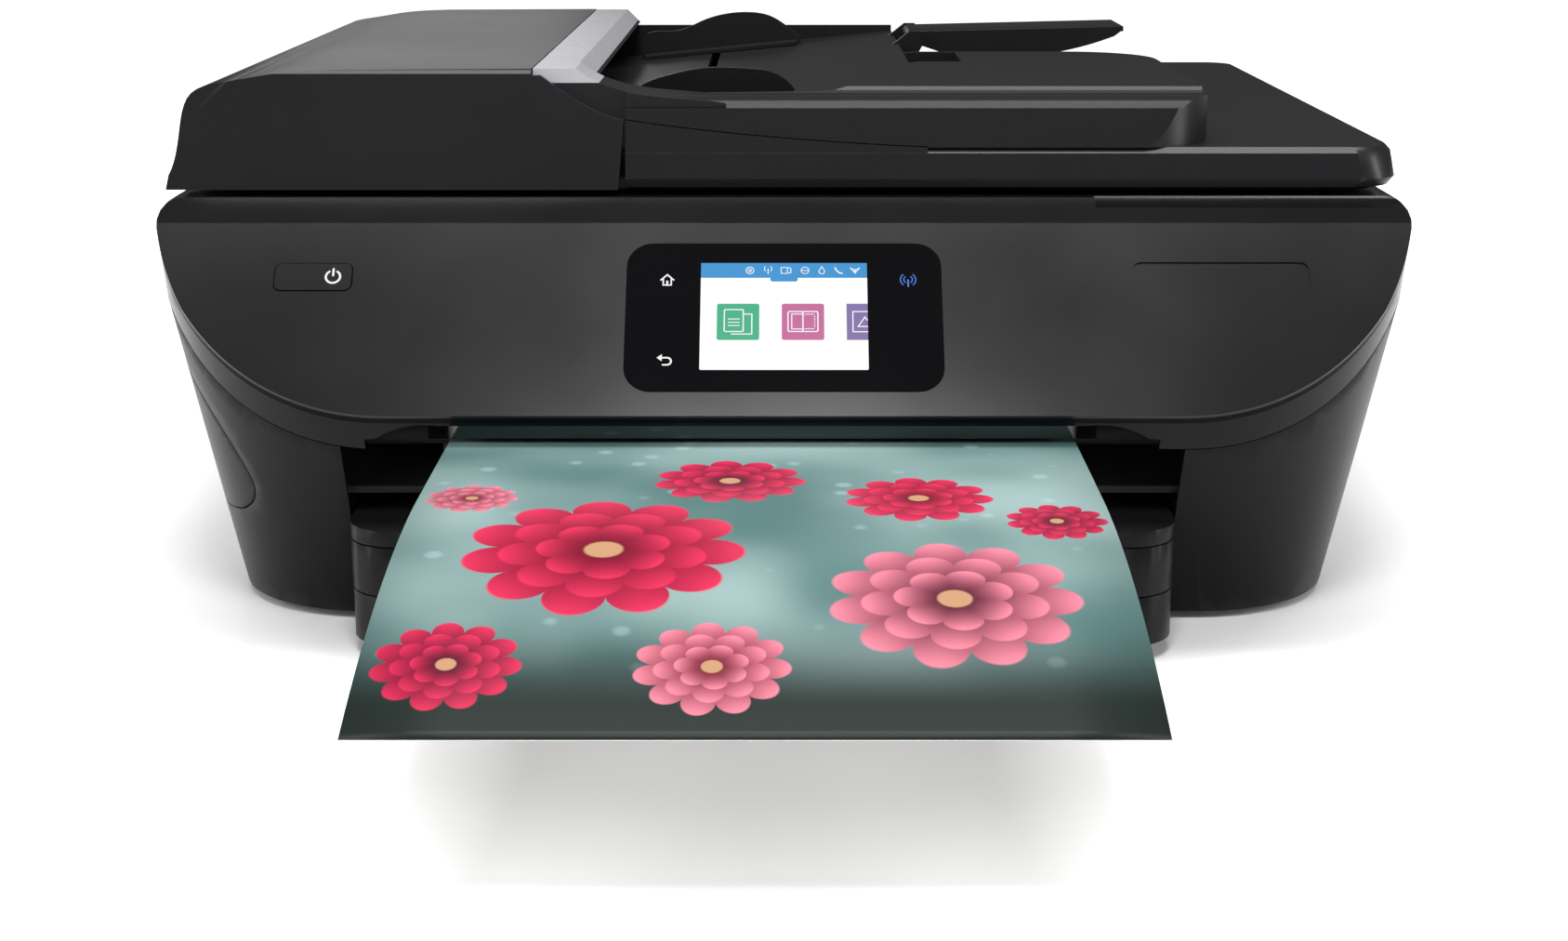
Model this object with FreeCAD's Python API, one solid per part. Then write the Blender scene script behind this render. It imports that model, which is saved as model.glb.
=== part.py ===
# Inkjet printer with flatbed scanner, document feeder and slanted touch panel.
# Millimetres, +Z up, front towards -Y.  Each piece is one STEP file.
import FreeCAD
import Part
import math
import os

Vec = FreeCAD.Vector

# Case: a ruled body that leans forward and widens towards the scanner deck.
CASE_WIDTH = 454.0
SPLIT_TAPER = 1.5
BASE_TAPER = 19.0
BODY_DEPTH = 410.0
DECK_HEIGHT = 152.0
SPLIT_HEIGHT = 118.0
FOOT_HEIGHT = 3.0
BASE_SETBACK = 48.0
BASE_CORNER = 55.0
DECK_CORNER = 106.0
REAR_CORNER = 24.0
REAR_LEAN = 3.0
DECK_ROUND = 9.0
WALL = 2.5

# Clearances between pieces.
SEAM = 0.4
RUN = 0.06
SLIDE = 0.5

# Slanted control panel.
PANEL_TILT = 42.0
PANEL_SETBACK = 8.0
PANEL_FOOT = 87.0
PANEL_LENGTH = 77.7
FASCIA = 3.0
BAND_DEPTH = 13.6
GLASS_WIDTH = 110.4
GLASS_HEIGHT = 59.5
GLASS_FOOT = 9.5
GLASS_CORNER = 9.5
GLASS_THICK = 1.6
SCREEN_WIDTH = 58.4
SCREEN_HEIGHT = 43.0
SCREEN_FOOT = 17.8
BUTTON_X = -165.6
BUTTON_WIDTH = 27.0
BUTTON_HEIGHT = 10.8
BUTTON_FOOT = 49.8
BADGE_X = 154.0
BADGE_WIDTH = 62.0
BADGE_HEIGHT = 12.0
BADGE_FOOT = 49.4

# Tray bay and trays.
BAY_CENTRE = -7.5
BAY_WIDTH = 292.0
PAN_THICK = 3.0
PAPER_TRAY_HEIGHT = 17.5
PHOTO_TRAY_HEIGHT = 17.5
OUTPUT_TRAY_HEIGHT = 5.5
PAPER_TRAY_DEPTH = 335.0
PHOTO_TRAY_DEPTH = 215.0
OUTPUT_TRAY_DEPTH = 190.0
TRAY_CORNER = 18.0
EXIT_ARCH = 222.0

# Printed sheet leaving the machine.
SHEET_WIDTH = 216.0
SHEET_LENGTH = 279.0
SHEET_THICK = 0.3
SHEET_HEIGHT = 76.0
SHEET_REACH = 196.0
SHEET_BEND = 55.0
SHEET_CURL = 426.0

# Print mechanism.
CHASSIS_CENTRE = -2.0
CHASSIS_WIDTH = 340.0
CHASSIS_SHEET = 2.0
EXIT_SETBACK = 55.0
FEED_SETBACK = 150.0
BACKPLATE_SETBACK = 207.0
ROLLER_RADIUS = 6.5
SHAFT_RADIUS = 4.0
GEAR_MODULE = 1.0
GEAR_TEETH = 30
PINION_TEETH = 12
GEAR_FACE = 6.0
CARRIAGE_WIDTH = 64.0
CARRIAGE_DEPTH = 86.0
CARRIAGE_HEIGHT = 31.0
ROD_RADIUS = 4.0
PULLEY_RADIUS = 7.0

# Scanner glass, calibration strip and finger recess, from the sides, front and back of the case.
SCAN_LEFT = 67.0
SCAN_RIGHT = 75.0
SCAN_FRONT = 118.0
SCAN_BACK = 68.0
STRIP_LEFT = 37.0
STRIP_WIDTH = 20.0
GRIP_LENGTH = 115.0

# Memory-card door and reader behind it.
DOOR_REAR = 116.0
READER_GAP = 6.6
READER_HEIGHT = 14.0

# Lid and document feeder.
LID_GAP = 1.5
LID_HEIGHT = 15.5
LID_SIDE = 3.0
LID_SETBACK = 75.5
LID_SLOPE = 2.3
HOOD_RIGHT = -91.5
HOOD_HEIGHT = 44.4
HOOD_SKIRT = -58.0
TRAY_SHELF = 33.5
FEED_TRAY_RIGHT = 157.0
COLLAR_WIDTH = 16.0
LOBE_X = 52.0
LOBE_DEPTH = 262.0
LOBE_CORNER = 28.0
EXT_REACH = 96.0
GUIDE_FRONT = 141.0
GUIDE_REAR = 360.0

# Derived places.
REAR_Y = (BODY_DEPTH + SHEET_REACH) / 2
FRONT_Y = REAR_Y - BODY_DEPTH
CASE_HALF = CASE_WIDTH / 2
SPLIT_WIDTH = CASE_WIDTH - 2 * SPLIT_TAPER
BASE_WIDTH = CASE_WIDTH - 2 * BASE_TAPER
BASE_FRONT_Y = FRONT_Y + BASE_SETBACK
PANEL_Y = FRONT_Y + PANEL_SETBACK
FRONT_LEAN = (BASE_SETBACK - PANEL_SETBACK) / (PANEL_FOOT - FOOT_HEIGHT)
SIN_TILT = math.sin(math.radians(PANEL_TILT))
COS_TILT = math.cos(math.radians(PANEL_TILT))
BAY_LEFT = BAY_CENTRE - BAY_WIDTH / 2
BAY_RIGHT = BAY_CENTRE + BAY_WIDTH / 2
PAN_TOP = FOOT_HEIGHT + PAN_THICK
PAPER_Z = PAN_TOP + SLIDE
PHOTO_Z = PAPER_Z + PAPER_TRAY_HEIGHT + SLIDE
OUTPUT_Z = PHOTO_Z + PHOTO_TRAY_HEIGHT + SLIDE
SHELF_TOP = OUTPUT_Z + OUTPUT_TRAY_HEIGHT + 4 * SLIDE
INNER_DECK_TOP = SHELF_TOP + WALL
ROLLER_Z = SHEET_HEIGHT - SHEET_THICK / 2 - ROLLER_RADIUS - 0.3
CHASSIS_LEFT = CHASSIS_CENTRE - CHASSIS_WIDTH / 2
CHASSIS_RIGHT = CHASSIS_CENTRE + CHASSIS_WIDTH / 2
CHASSIS_TOP = SPLIT_HEIGHT - 5
LID_Z = DECK_HEIGHT + LID_GAP
LID_TOP = LID_Z + LID_HEIGHT
LID_HALF = CASE_HALF - LID_SIDE
LID_REAR_Y = REAR_Y - 2
SPLIT_UP = SPLIT_HEIGHT + SEAM
LOBE_REAR = FRONT_Y + LOBE_DEPTH


def from_front(setback):
    """Y of a point measured back from the plane of the tray fronts."""
    return FRONT_Y + setback


def lerp(a, b, t):
    return a + (b - a) * t


def box(x0, x1, y0, y1, z0, z1):
    return Part.makeBox(x1 - x0, y1 - y0, z1 - z0, Vec(x0, y0, z0))


def prism_x(yz, x0, x1):
    points = [Vec(x0, y, z) for y, z in yz]
    face = Part.Face(Part.makePolygon(points + points[:1]))
    return face.extrude(Vec(x1 - x0, 0, 0))


def prism_y(xz, y0, y1):
    points = [Vec(x, y0, z) for x, z in xz]
    face = Part.Face(Part.makePolygon(points + points[:1]))
    return face.extrude(Vec(0, y1 - y0, 0))


def prism_z(xy, z0, z1):
    points = [Vec(x, y, z0) for x, y in xy]
    face = Part.Face(Part.makePolygon(points + points[:1]))
    return face.extrude(Vec(0, 0, z1 - z0))


def rod_x(x0, x1, y, z, radius):
    return Part.makeCylinder(radius, x1 - x0, Vec(x0, y, z), Vec(1, 0, 0))


def rod_y(y0, y1, x, z, radius):
    return Part.makeCylinder(radius, y1 - y0, Vec(x, y0, z), Vec(0, 1, 0))


def rod_z(z0, z1, x, y, radius):
    return Part.makeCylinder(radius, z1 - z0, Vec(x, y, z0), Vec(0, 0, 1))


def smooth(points, steps=6):
    """Points of a smooth curve through the given plane points."""
    curve = Part.BSplineCurve()
    curve.interpolate([Vec(a, b, 0) for a, b in points])
    count = steps * (len(points) - 1)
    first, last = curve.FirstParameter, curve.LastParameter
    found = [curve.value(lerp(first, last, i / count)) for i in range(count + 1)]
    return [(p.x, p.y) for p in found]


def rounded_wire(x0, x1, y0, y1, z, front_radius, rear_radius):
    """Rectangle with its two front and two rear corners rounded, as a wire at height z."""
    half = math.sqrt(0.5)
    edges = []
    corners = [
        (x1, y0, -1, 1, front_radius),
        (x1, y1, -1, -1, rear_radius),
        (x0, y1, 1, -1, rear_radius),
        (x0, y0, 1, 1, front_radius),
    ]
    ends = []
    for index, (x, y, sx, sy, r) in enumerate(corners):
        centre = Vec(x + sx * r, y + sy * r, z)
        along_x = Vec(centre.x, y, z)
        along_y = Vec(x, centre.y, z)
        middle = centre + Vec(-sx * r * half, -sy * r * half, 0)
        start, stop = (along_x, along_y) if index % 2 == 0 else (along_y, along_x)
        ends.append((start, middle, stop))
    for index, (start, middle, stop) in enumerate(ends):
        edges.append(Part.Arc(start, middle, stop).toShape())
        edges.append(Part.makeLine(stop, ends[(index + 1) % 4][0]))
    return Part.Wire(edges)


def rounded_block(x0, x1, y0, y1, z0, z1, front_radius, rear_radius):
    wire = rounded_wire(x0, x1, y0, y1, z0, front_radius, rear_radius)
    return Part.Face(wire).extrude(Vec(0, 0, z1 - z0))


def loft(wires):
    return Part.makeLoft(wires, True, True)


def gear(teeth, x0, x1, y, z, phase):
    """Spur gear about X with straight-flanked teeth and a little backlash."""
    pitch = GEAR_MODULE * teeth / 2
    root, tip = pitch - 1.25 * GEAR_MODULE, pitch + 0.9 * GEAR_MODULE
    step = 2 * math.pi / teeth
    points = []
    for index in range(teeth):
        middle = phase + index * step
        for radius, share in ((root, -0.30), (pitch, -0.205), (tip, -0.09),
                              (tip, 0.09), (pitch, 0.205), (root, 0.30)):
            angle = middle + share * step
            points.append((y + radius * math.cos(angle), z + radius * math.sin(angle)))
    return prism_x(points, x0, x1)


parts = {}


# Hull of the case and the slanted plane of the panel.
def case_outline(z, inset=0.0):
    if z <= SPLIT_HEIGHT:
        t = (z - FOOT_HEIGHT) / (SPLIT_HEIGHT - FOOT_HEIGHT)
        half = lerp(BASE_WIDTH, SPLIT_WIDTH, t) / 2
    else:
        t = (z - SPLIT_HEIGHT) / (DECK_HEIGHT - SPLIT_HEIGHT)
        half = lerp(SPLIT_WIDTH, CASE_WIDTH, t) / 2
    rise = (z - FOOT_HEIGHT) / (DECK_HEIGHT - FOOT_HEIGHT)
    front = BASE_FRONT_Y - FRONT_LEAN * (z - FOOT_HEIGHT)
    rear = REAR_Y - REAR_LEAN * (1 - rise)
    corner = lerp(BASE_CORNER, DECK_CORNER, rise)
    return rounded_wire(-half + inset, half - inset, front + inset, rear - inset, z,
                        corner - inset, REAR_CORNER - inset)


def case_hull(inset=0.0, top=DECK_HEIGHT, bottom=FOOT_HEIGHT):
    levels = [bottom] + [z for z in (SPLIT_HEIGHT,) if bottom < z < top] + [top]
    return loft([case_outline(z, inset) for z in levels])


def rounded_hull():
    """The whole case with its upper edge rolled over onto the deck."""
    wires = [case_outline(FOOT_HEIGHT), case_outline(SPLIT_HEIGHT)]
    for step in range(6):
        angle = math.radians(18 * step)
        z = DECK_HEIGHT - DECK_ROUND * (1 - math.sin(angle))
        wires.append(case_outline(z, DECK_ROUND * (1 - math.cos(angle))))
    return loft(wires)


def panel_yz(up, out):
    """Y and Z of a point a distance up the panel and out from its face."""
    return (PANEL_Y + up * SIN_TILT - out * COS_TILT, PANEL_FOOT + up * COS_TILT + out * SIN_TILT)


def panel_reaching(z, out):
    """Distance up the panel at which the plane offset by out reaches height z."""
    return (z - PANEL_FOOT - out * SIN_TILT) / COS_TILT


def on_panel(shape):
    """Move a shape drawn flat (X across, Y up the slope, Z out) onto the panel."""
    turn = FreeCAD.Rotation(Vec(1, 0, 0), 90 - PANEL_TILT)
    shape.Placement = FreeCAD.Placement(Vec(0, PANEL_Y, PANEL_FOOT), turn)
    return shape


def panel_slab(out_front, out_back, up_low, up_high):
    corners = [panel_yz(up_low, out_front), panel_yz(up_high, out_front)]
    corners += [panel_yz(up_high, out_back), panel_yz(up_low, out_back)]
    return prism_x(corners, -CASE_WIDTH, CASE_WIDTH)


HULL = rounded_hull()
HINGE_Y = REAR_Y - 5
HINGE_Z = SPLIT_HEIGHT
REAR_STEP = 3.2
KNEE_LOW = panel_yz(panel_reaching(SPLIT_HEIGHT, -BAND_DEPTH - SEAM), -BAND_DEPTH - SEAM)
KNEE_UP = panel_yz(panel_reaching(SPLIT_UP, -BAND_DEPTH), -BAND_DEPTH)
LOW_LINE = panel_yz(panel_reaching(-5, -BAND_DEPTH - SEAM), -BAND_DEPTH - SEAM)
LOWER_PROFILE = [
    LOW_LINE, KNEE_LOW, (HINGE_Y - 5, SPLIT_HEIGHT), (HINGE_Y - 5, SPLIT_HEIGHT - REAR_STEP),
    (REAR_Y + 10, SPLIT_HEIGHT - REAR_STEP), (REAR_Y + 10, -5),
]


# Lower case: two side covers, a pan between them, a back cover and four feet.
def case_below(inset, x0, x1, z0, z1):
    """Part of the lower case between two planes across and two heights."""
    body = case_hull(inset, SPLIT_HEIGHT + 1)
    return body.common(prism_x(LOWER_PROFILE, x0, x1)).common(box(x0, x1, -BODY_DEPTH, BODY_DEPTH, z0, z1))


def side_cover(x0, x1, wall_x0, wall_x1):
    """Outer skin, floor, bay wall and the shelf that carries the inner deck."""
    cover = case_below(0, x0, x1, FOOT_HEIGHT, SPLIT_HEIGHT)
    room = case_hull(WALL, SPLIT_HEIGHT + 1)
    span = box(wall_x0, wall_x1, -BODY_DEPTH, BODY_DEPTH, FOOT_HEIGHT + WALL, SHELF_TOP - WALL)
    above = box(x0 - 1, x1 + 1, -BODY_DEPTH, BODY_DEPTH, SHELF_TOP, SPLIT_HEIGHT + 1)
    return cover.cut(room.common(span)).cut(room.common(above))


left_cover = side_cover(-CASE_WIDTH, BAY_LEFT, -CASE_WIDTH, BAY_LEFT - WALL)
right_cover = side_cover(BAY_RIGHT, CASE_WIDTH, BAY_RIGHT + WALL, CASE_WIDTH)

# Memory-card door: a leaf-shaped piece of the left skin, hinged at its rear edge.
DOOR_LEAF = [(DOOR_REAR, SHELF_TOP + 43)]
DOOR_LEAF += smooth([
    (98, SHELF_TOP + 45.4), (80, SHELF_TOP + 46), (55, SHELF_TOP + 38), (41.5, SHELF_TOP + 16),
    (42.5, SHELF_TOP + 1), (52, SHELF_TOP - 8), (70, SHELF_TOP - 11.5), (88, SHELF_TOP - 12),
])
DOOR_LEAF += [(DOOR_REAR, SHELF_TOP - 12)]
door_yz = [(from_front(s), z) for s, z in DOOR_LEAF]
door_mid_y = sum(y for y, z in door_yz) / len(door_yz)
door_mid_z = sum(z for y, z in door_yz) / len(door_yz)
door_gap = [(y + SEAM * (1 if y > door_mid_y else -1), z + SEAM * (1 if z > door_mid_z else -1))
            for y, z in door_yz]
left_skin = case_below(0, -CASE_WIDTH, BAY_LEFT - WALL, FOOT_HEIGHT, SPLIT_HEIGHT)
left_skin = left_skin.cut(case_hull(WALL, SPLIT_HEIGHT + 1))
door_void = prism_x(door_gap, -CASE_WIDTH, -CASE_HALF + 70)
DOOR_Y = from_front(DOOR_REAR) - WALL / 2
DOOR_LEAN = (SPLIT_WIDTH - BASE_WIDTH) / 2 / (SPLIT_HEIGHT - FOOT_HEIGHT)


def door_axis(z):
    """Point of the hinge line in the middle of the leaning skin."""
    return Vec(-BASE_WIDTH / 2 - DOOR_LEAN * (z - FOOT_HEIGHT) + WALL / 2, DOOR_Y, z)


def door_rod(z0, z1, radius):
    start, stop = door_axis(z0), door_axis(z1)
    return Part.makeCylinder(radius, (stop - start).Length, start, stop - start)


DOOR_LOW, DOOR_HIGH = SHELF_TOP - 12, SHELF_TOP + 43
clip = box(-CASE_WIDTH, 0, -BODY_DEPTH, DOOR_Y, 0, SPLIT_HEIGHT)
door = left_skin.common(prism_x(door_yz, -CASE_WIDTH, -CASE_HALF + 70)).common(clip)
door = door.fuse([
    door_rod(DOOR_LOW + 1.5, DOOR_HIGH - 1.5, WALL / 2 - 0.05),
    door_rod(DOOR_LOW - 3, DOOR_HIGH + 3, 0.8),
])
left_cover = left_cover.cut([left_skin.common(door_void), door_rod(DOOR_LOW - 4, DOOR_HIGH + 4, 0.8 + RUN)])
parts["memory_door"] = door
parts["left_side_cover"] = left_cover
parts["right_side_cover"] = right_cover

pan = case_below(0, BAY_LEFT, BAY_RIGHT, FOOT_HEIGHT, PAN_TOP)
pan_ribs = [box(x - 1, x + 1, BASE_FRONT_Y + 30, REAR_Y - 60, PAN_TOP - 1.2, PAN_TOP + 0.1)
            for x in (BAY_LEFT + 60, BAY_CENTRE, BAY_RIGHT - 60)]
parts["base_pan"] = pan.cut(pan_ribs)

back = case_below(0, BAY_LEFT, BAY_RIGHT, PAN_TOP, SPLIT_HEIGHT).cut(case_hull(WALL, SPLIT_HEIGHT + 1))
back = back.common(box(BAY_LEFT, BAY_RIGHT, REAR_Y - 30, REAR_Y + 30, 0, SPLIT_HEIGHT))

feet = []
for foot_x in (-BASE_WIDTH / 2 + 43, BASE_WIDTH / 2 - 43):
    for foot_y in (BASE_FRONT_Y + 42, REAR_Y - 45):
        feet.append(rod_z(0, FOOT_HEIGHT, foot_x, foot_y, 9))
parts["rubber_feet"] = Part.makeCompound(feet)

# Inner deck above the trays, resting on the shelves of the side covers.
DECK_HALF = CHASSIS_WIDTH / 2 + 8
inner_deck = box(CHASSIS_CENTRE - DECK_HALF, CHASSIS_CENTRE + DECK_HALF,
                 from_front(EXIT_SETBACK - 13), REAR_Y - 28, SHELF_TOP, INNER_DECK_TOP)
parts["inner_deck"] = inner_deck

# Sheet-metal chassis: a back plate and two side plates that carry every shaft.
EXIT_Y = from_front(EXIT_SETBACK)
FEED_Y = from_front(FEED_SETBACK)
PINION_Y = FEED_Y + GEAR_MODULE * (GEAR_TEETH + PINION_TEETH) / 2
STAR_RADIUS = 3.0
STAR_Z = SHEET_HEIGHT + SHEET_THICK / 2 + STAR_RADIUS + 0.3
ROD_Y = from_front(FEED_SETBACK + 24)
ROD_Z = INNER_DECK_TOP + 48
BELT_Y = from_front(BACKPLATE_SETBACK - 8)
BELT_Z = INNER_DECK_TOP + 38
BACK_Y = from_front(BACKPLATE_SETBACK)
PULLEY_LEFT = CHASSIS_LEFT + 20
PULLEY_RIGHT = CHASSIS_RIGHT - 20
plate_side = [
    (EXIT_Y - 9, INNER_DECK_TOP), (EXIT_Y - 9, STAR_Z + 6), (EXIT_Y + 22, STAR_Z + 9),
    (ROD_Y - 32, CHASSIS_TOP), (BACK_Y, CHASSIS_TOP), (BACK_Y, INNER_DECK_TOP),
]
back_plate = box(CHASSIS_LEFT, CHASSIS_RIGHT, BACK_Y, BACK_Y + CHASSIS_SHEET, INNER_DECK_TOP, CHASSIS_TOP)
chassis = prism_x(plate_side, CHASSIS_LEFT, CHASSIS_LEFT + CHASSIS_SHEET).fuse([
    prism_x(plate_side, CHASSIS_RIGHT - CHASSIS_SHEET, CHASSIS_RIGHT), back_plate,
    rod_y(BELT_Y - 5, BACK_Y, PULLEY_LEFT, BELT_Z, 2.0),
])
shaft_holes = [
    rod_x(CHASSIS_LEFT - 1, CHASSIS_RIGHT + 1, EXIT_Y, ROLLER_Z, SHAFT_RADIUS + RUN),
    rod_x(CHASSIS_LEFT - 1, CHASSIS_RIGHT + 1, FEED_Y, ROLLER_Z, SHAFT_RADIUS + RUN),
    rod_x(CHASSIS_LEFT - 1, CHASSIS_RIGHT + 1, EXIT_Y, STAR_Z, 1.0 + RUN),
    rod_x(CHASSIS_LEFT - 1, CHASSIS_RIGHT + 1, ROD_Y, ROD_Z, ROD_RADIUS),
    rod_x(CHASSIS_RIGHT - 9, CHASSIS_RIGHT + 1, PINION_Y, ROLLER_Z, 3.0),
    rod_y(BACK_Y - 1, BACK_Y + 9, PULLEY_RIGHT, BELT_Z, 3.0),
]
for window in range(4):
    window_x = lerp(CHASSIS_LEFT, CHASSIS_RIGHT, (window + 0.75) / 5)
    shaft_holes.append(box(window_x, window_x + 42, BACK_Y - 1, BACK_Y + 9,
                           INNER_DECK_TOP + 8, INNER_DECK_TOP + 26))
parts["chassis"] = chassis.cut(shaft_holes)
parts["carriage_rod"] = rod_x(CHASSIS_LEFT - 2, CHASSIS_RIGHT + 2, ROD_Y, ROD_Z, ROD_RADIUS)

# Feed roller, exit roller and star-wheel shaft with the belt and gears that turn them.
ROLLER_LEFT = BAY_CENTRE - SHEET_WIDTH / 2 - 6
ROLLER_RIGHT = BAY_CENTRE + SHEET_WIDTH / 2 + 6
WHEEL_LEFT = CHASSIS_LEFT - 11
TIMING_RADIUS = 8.0
GEAR_X = CHASSIS_RIGHT + 3
feed_shaft = rod_x(WHEEL_LEFT - 2, GEAR_X + GEAR_FACE + 2, FEED_Y, ROLLER_Z, SHAFT_RADIUS)
feed_shaft = feed_shaft.fuse([
    rod_x(ROLLER_LEFT, ROLLER_RIGHT, FEED_Y, ROLLER_Z, ROLLER_RADIUS),
    rod_x(WHEEL_LEFT, WHEEL_LEFT + 7, FEED_Y, ROLLER_Z, TIMING_RADIUS),
])
exit_shaft = rod_x(WHEEL_LEFT - 2, CHASSIS_RIGHT + 3, EXIT_Y, ROLLER_Z, SHAFT_RADIUS)
exit_rings = [rod_x(WHEEL_LEFT, WHEEL_LEFT + 7, EXIT_Y, ROLLER_Z, TIMING_RADIUS)]
star_shaft = rod_x(CHASSIS_LEFT - 2, CHASSIS_RIGHT + 2, EXIT_Y, STAR_Z, 1.0)
stars = []
WHEELS = 7
for wheel in range(WHEELS):
    ring_x = lerp(ROLLER_LEFT + 8, ROLLER_RIGHT - 20, wheel / (WHEELS - 1))
    exit_rings.append(rod_x(ring_x, ring_x + 12, EXIT_Y, ROLLER_Z, ROLLER_RADIUS))
    stars.append(rod_x(ring_x + 5, ring_x + 7, EXIT_Y, STAR_Z, STAR_RADIUS))
parts["feed_roller"] = feed_shaft
parts["exit_roller"] = exit_shaft.fuse(exit_rings)
parts["star_wheels"] = star_shaft.fuse(stars)
feed_gear = gear(GEAR_TEETH, GEAR_X, GEAR_X + GEAR_FACE, FEED_Y, ROLLER_Z, 0.0)
parts["feed_gear"] = feed_gear.cut(rod_x(GEAR_X - 1, GEAR_X + GEAR_FACE + 1, FEED_Y, ROLLER_Z, SHAFT_RADIUS))
pinion = gear(PINION_TEETH, GEAR_X, GEAR_X + GEAR_FACE, PINION_Y, ROLLER_Z, math.pi + math.pi / PINION_TEETH)
parts["motor_pinion"] = pinion.fuse(rod_x(CHASSIS_RIGHT - 8, GEAR_X + 1, PINION_Y, ROLLER_Z, 1.5))
feed_motor = rod_x(CHASSIS_RIGHT - 26, CHASSIS_RIGHT - CHASSIS_SHEET, PINION_Y, ROLLER_Z, 11.0)
motor_seat = box(CHASSIS_RIGHT - 4, CHASSIS_RIGHT - CHASSIS_SHEET, PINION_Y - 13, PINION_Y + 18,
                 ROLLER_Z - 8, ROLLER_Z + 8)
motor_bore = rod_x(CHASSIS_RIGHT - 12, CHASSIS_RIGHT, PINION_Y, ROLLER_Z, 1.5 + RUN)
parts["feed_motor"] = feed_motor.fuse(motor_seat).cut(motor_bore)


def belt_loop(a, b, radius, thick, axis, start, width):
    """Flat belt round two equal wheels; a and b are the wheel centres in the plane across the axis."""
    length = math.hypot(b[0] - a[0], b[1] - a[1])

    def slot(r):
        wire = rounded_wire(-r, length + r, -r, r, 0, r * 0.999, r * 0.999)
        return Part.Face(wire).extrude(Vec(0, 0, width))
    band = slot(radius + thick).cut(slot(radius))
    across = Vec(b[0] - a[0], 0, b[1] - a[1]) if axis == "y" else Vec(0, b[0] - a[0], b[1] - a[1])
    across.normalize()
    out = Vec(0, 1, 0) if axis == "y" else Vec(1, 0, 0)
    side = out.cross(across)
    frame = FreeCAD.Matrix(across.x, side.x, out.x, 0, across.y, side.y, out.y, 0,
                           across.z, side.z, out.z, 0, 0, 0, 0, 1)
    place = Vec(a[0], start, a[1]) if axis == "y" else Vec(start, a[0], a[1])
    band.Placement = FreeCAD.Placement(place, FreeCAD.Placement(frame).Rotation)
    return band


parts["transport_belt"] = belt_loop((EXIT_Y, ROLLER_Z), (FEED_Y, ROLLER_Z), TIMING_RADIUS + 0.3, 1.2,
                                    "x", WHEEL_LEFT + 1, 5)

# Platen with ribs under the sheet, and the service station where the carriage parks.
platen_front = EXIT_Y + ROLLER_RADIUS + 11
platen_rear = FEED_Y - ROLLER_RADIUS - 5
platen_top = SHEET_HEIGHT - SHEET_THICK / 2 - 0.3
platen = box(ROLLER_LEFT - 5, ROLLER_RIGHT - 2, platen_front, platen_rear, INNER_DECK_TOP, platen_top - 3)
platen = platen.cut(box(ROLLER_LEFT, ROLLER_RIGHT - 7, platen_front + 5, platen_rear - 5,
                        INNER_DECK_TOP - 1, platen_top - 6))
ribs = []
RIBS = 13
for rib in range(RIBS):
    rib_x = lerp(ROLLER_LEFT + 4, ROLLER_RIGHT - 12, rib / (RIBS - 1))
    rib_side = [(platen_front + 1, platen_top - 3.2), (platen_front + 5, platen_top),
                (platen_rear - 5, platen_top), (platen_rear - 1, platen_top - 3.2)]
    ribs.append(prism_x(rib_side, rib_x, rib_x + 2))
parts["platen"] = platen.fuse(ribs)

CARRIAGE_Z = SHEET_HEIGHT + 4
CARRIAGE_X = CHASSIS_RIGHT - CHASSIS_SHEET - 6 - CARRIAGE_WIDTH / 2
CARRIAGE_FRONT = ROD_Y + 10 - CARRIAGE_DEPTH
CARRIAGE_TOP = CARRIAGE_Z + CARRIAGE_HEIGHT
station_left = max(ROLLER_RIGHT + 1, CARRIAGE_X - 26)
station = box(station_left, CARRIAGE_X + 26, CARRIAGE_FRONT + 2, FEED_Y - ROLLER_RADIUS - 8,
              INNER_DECK_TOP, CARRIAGE_Z - 8)
caps = [box(x - 8, x + 8, CARRIAGE_FRONT + 12, CARRIAGE_FRONT + 40, CARRIAGE_Z - 9, CARRIAGE_Z - 2.5)
        for x in (CARRIAGE_X - 14, CARRIAGE_X + 15)]
cap_wells = [box(x - 6, x + 6, CARRIAGE_FRONT + 14, CARRIAGE_FRONT + 38, CARRIAGE_Z - 5, CARRIAGE_Z)
             for x in (CARRIAGE_X - 14, CARRIAGE_X + 15)]
parts["service_station"] = station.fuse(caps).cut(cap_wells)

# Carriage on its rod, with two bays for the cartridges open towards the front.
carriage_side = [
    (CARRIAGE_FRONT, CARRIAGE_Z), (CARRIAGE_FRONT, CARRIAGE_Z + 9), (CARRIAGE_FRONT + 9, CARRIAGE_TOP - 3),
    (CARRIAGE_FRONT + 13, CARRIAGE_TOP), (ROD_Y + 2, CARRIAGE_TOP), (ROD_Y + 10, CARRIAGE_TOP - 6),
    (ROD_Y + 10, CARRIAGE_Z + 12), (ROD_Y - 8, CARRIAGE_Z + 8), (FEED_Y - 2, CARRIAGE_Z + 2),
    (FEED_Y - 10, CARRIAGE_Z),
]
carriage = prism_x(carriage_side, CARRIAGE_X - CARRIAGE_WIDTH / 2, CARRIAGE_X + CARRIAGE_WIDTH / 2)
BAY_BACK = CARRIAGE_FRONT + 58
CELL = (CARRIAGE_WIDTH - 3 * WALL) / 2
cells = []
cartridges = []
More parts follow.
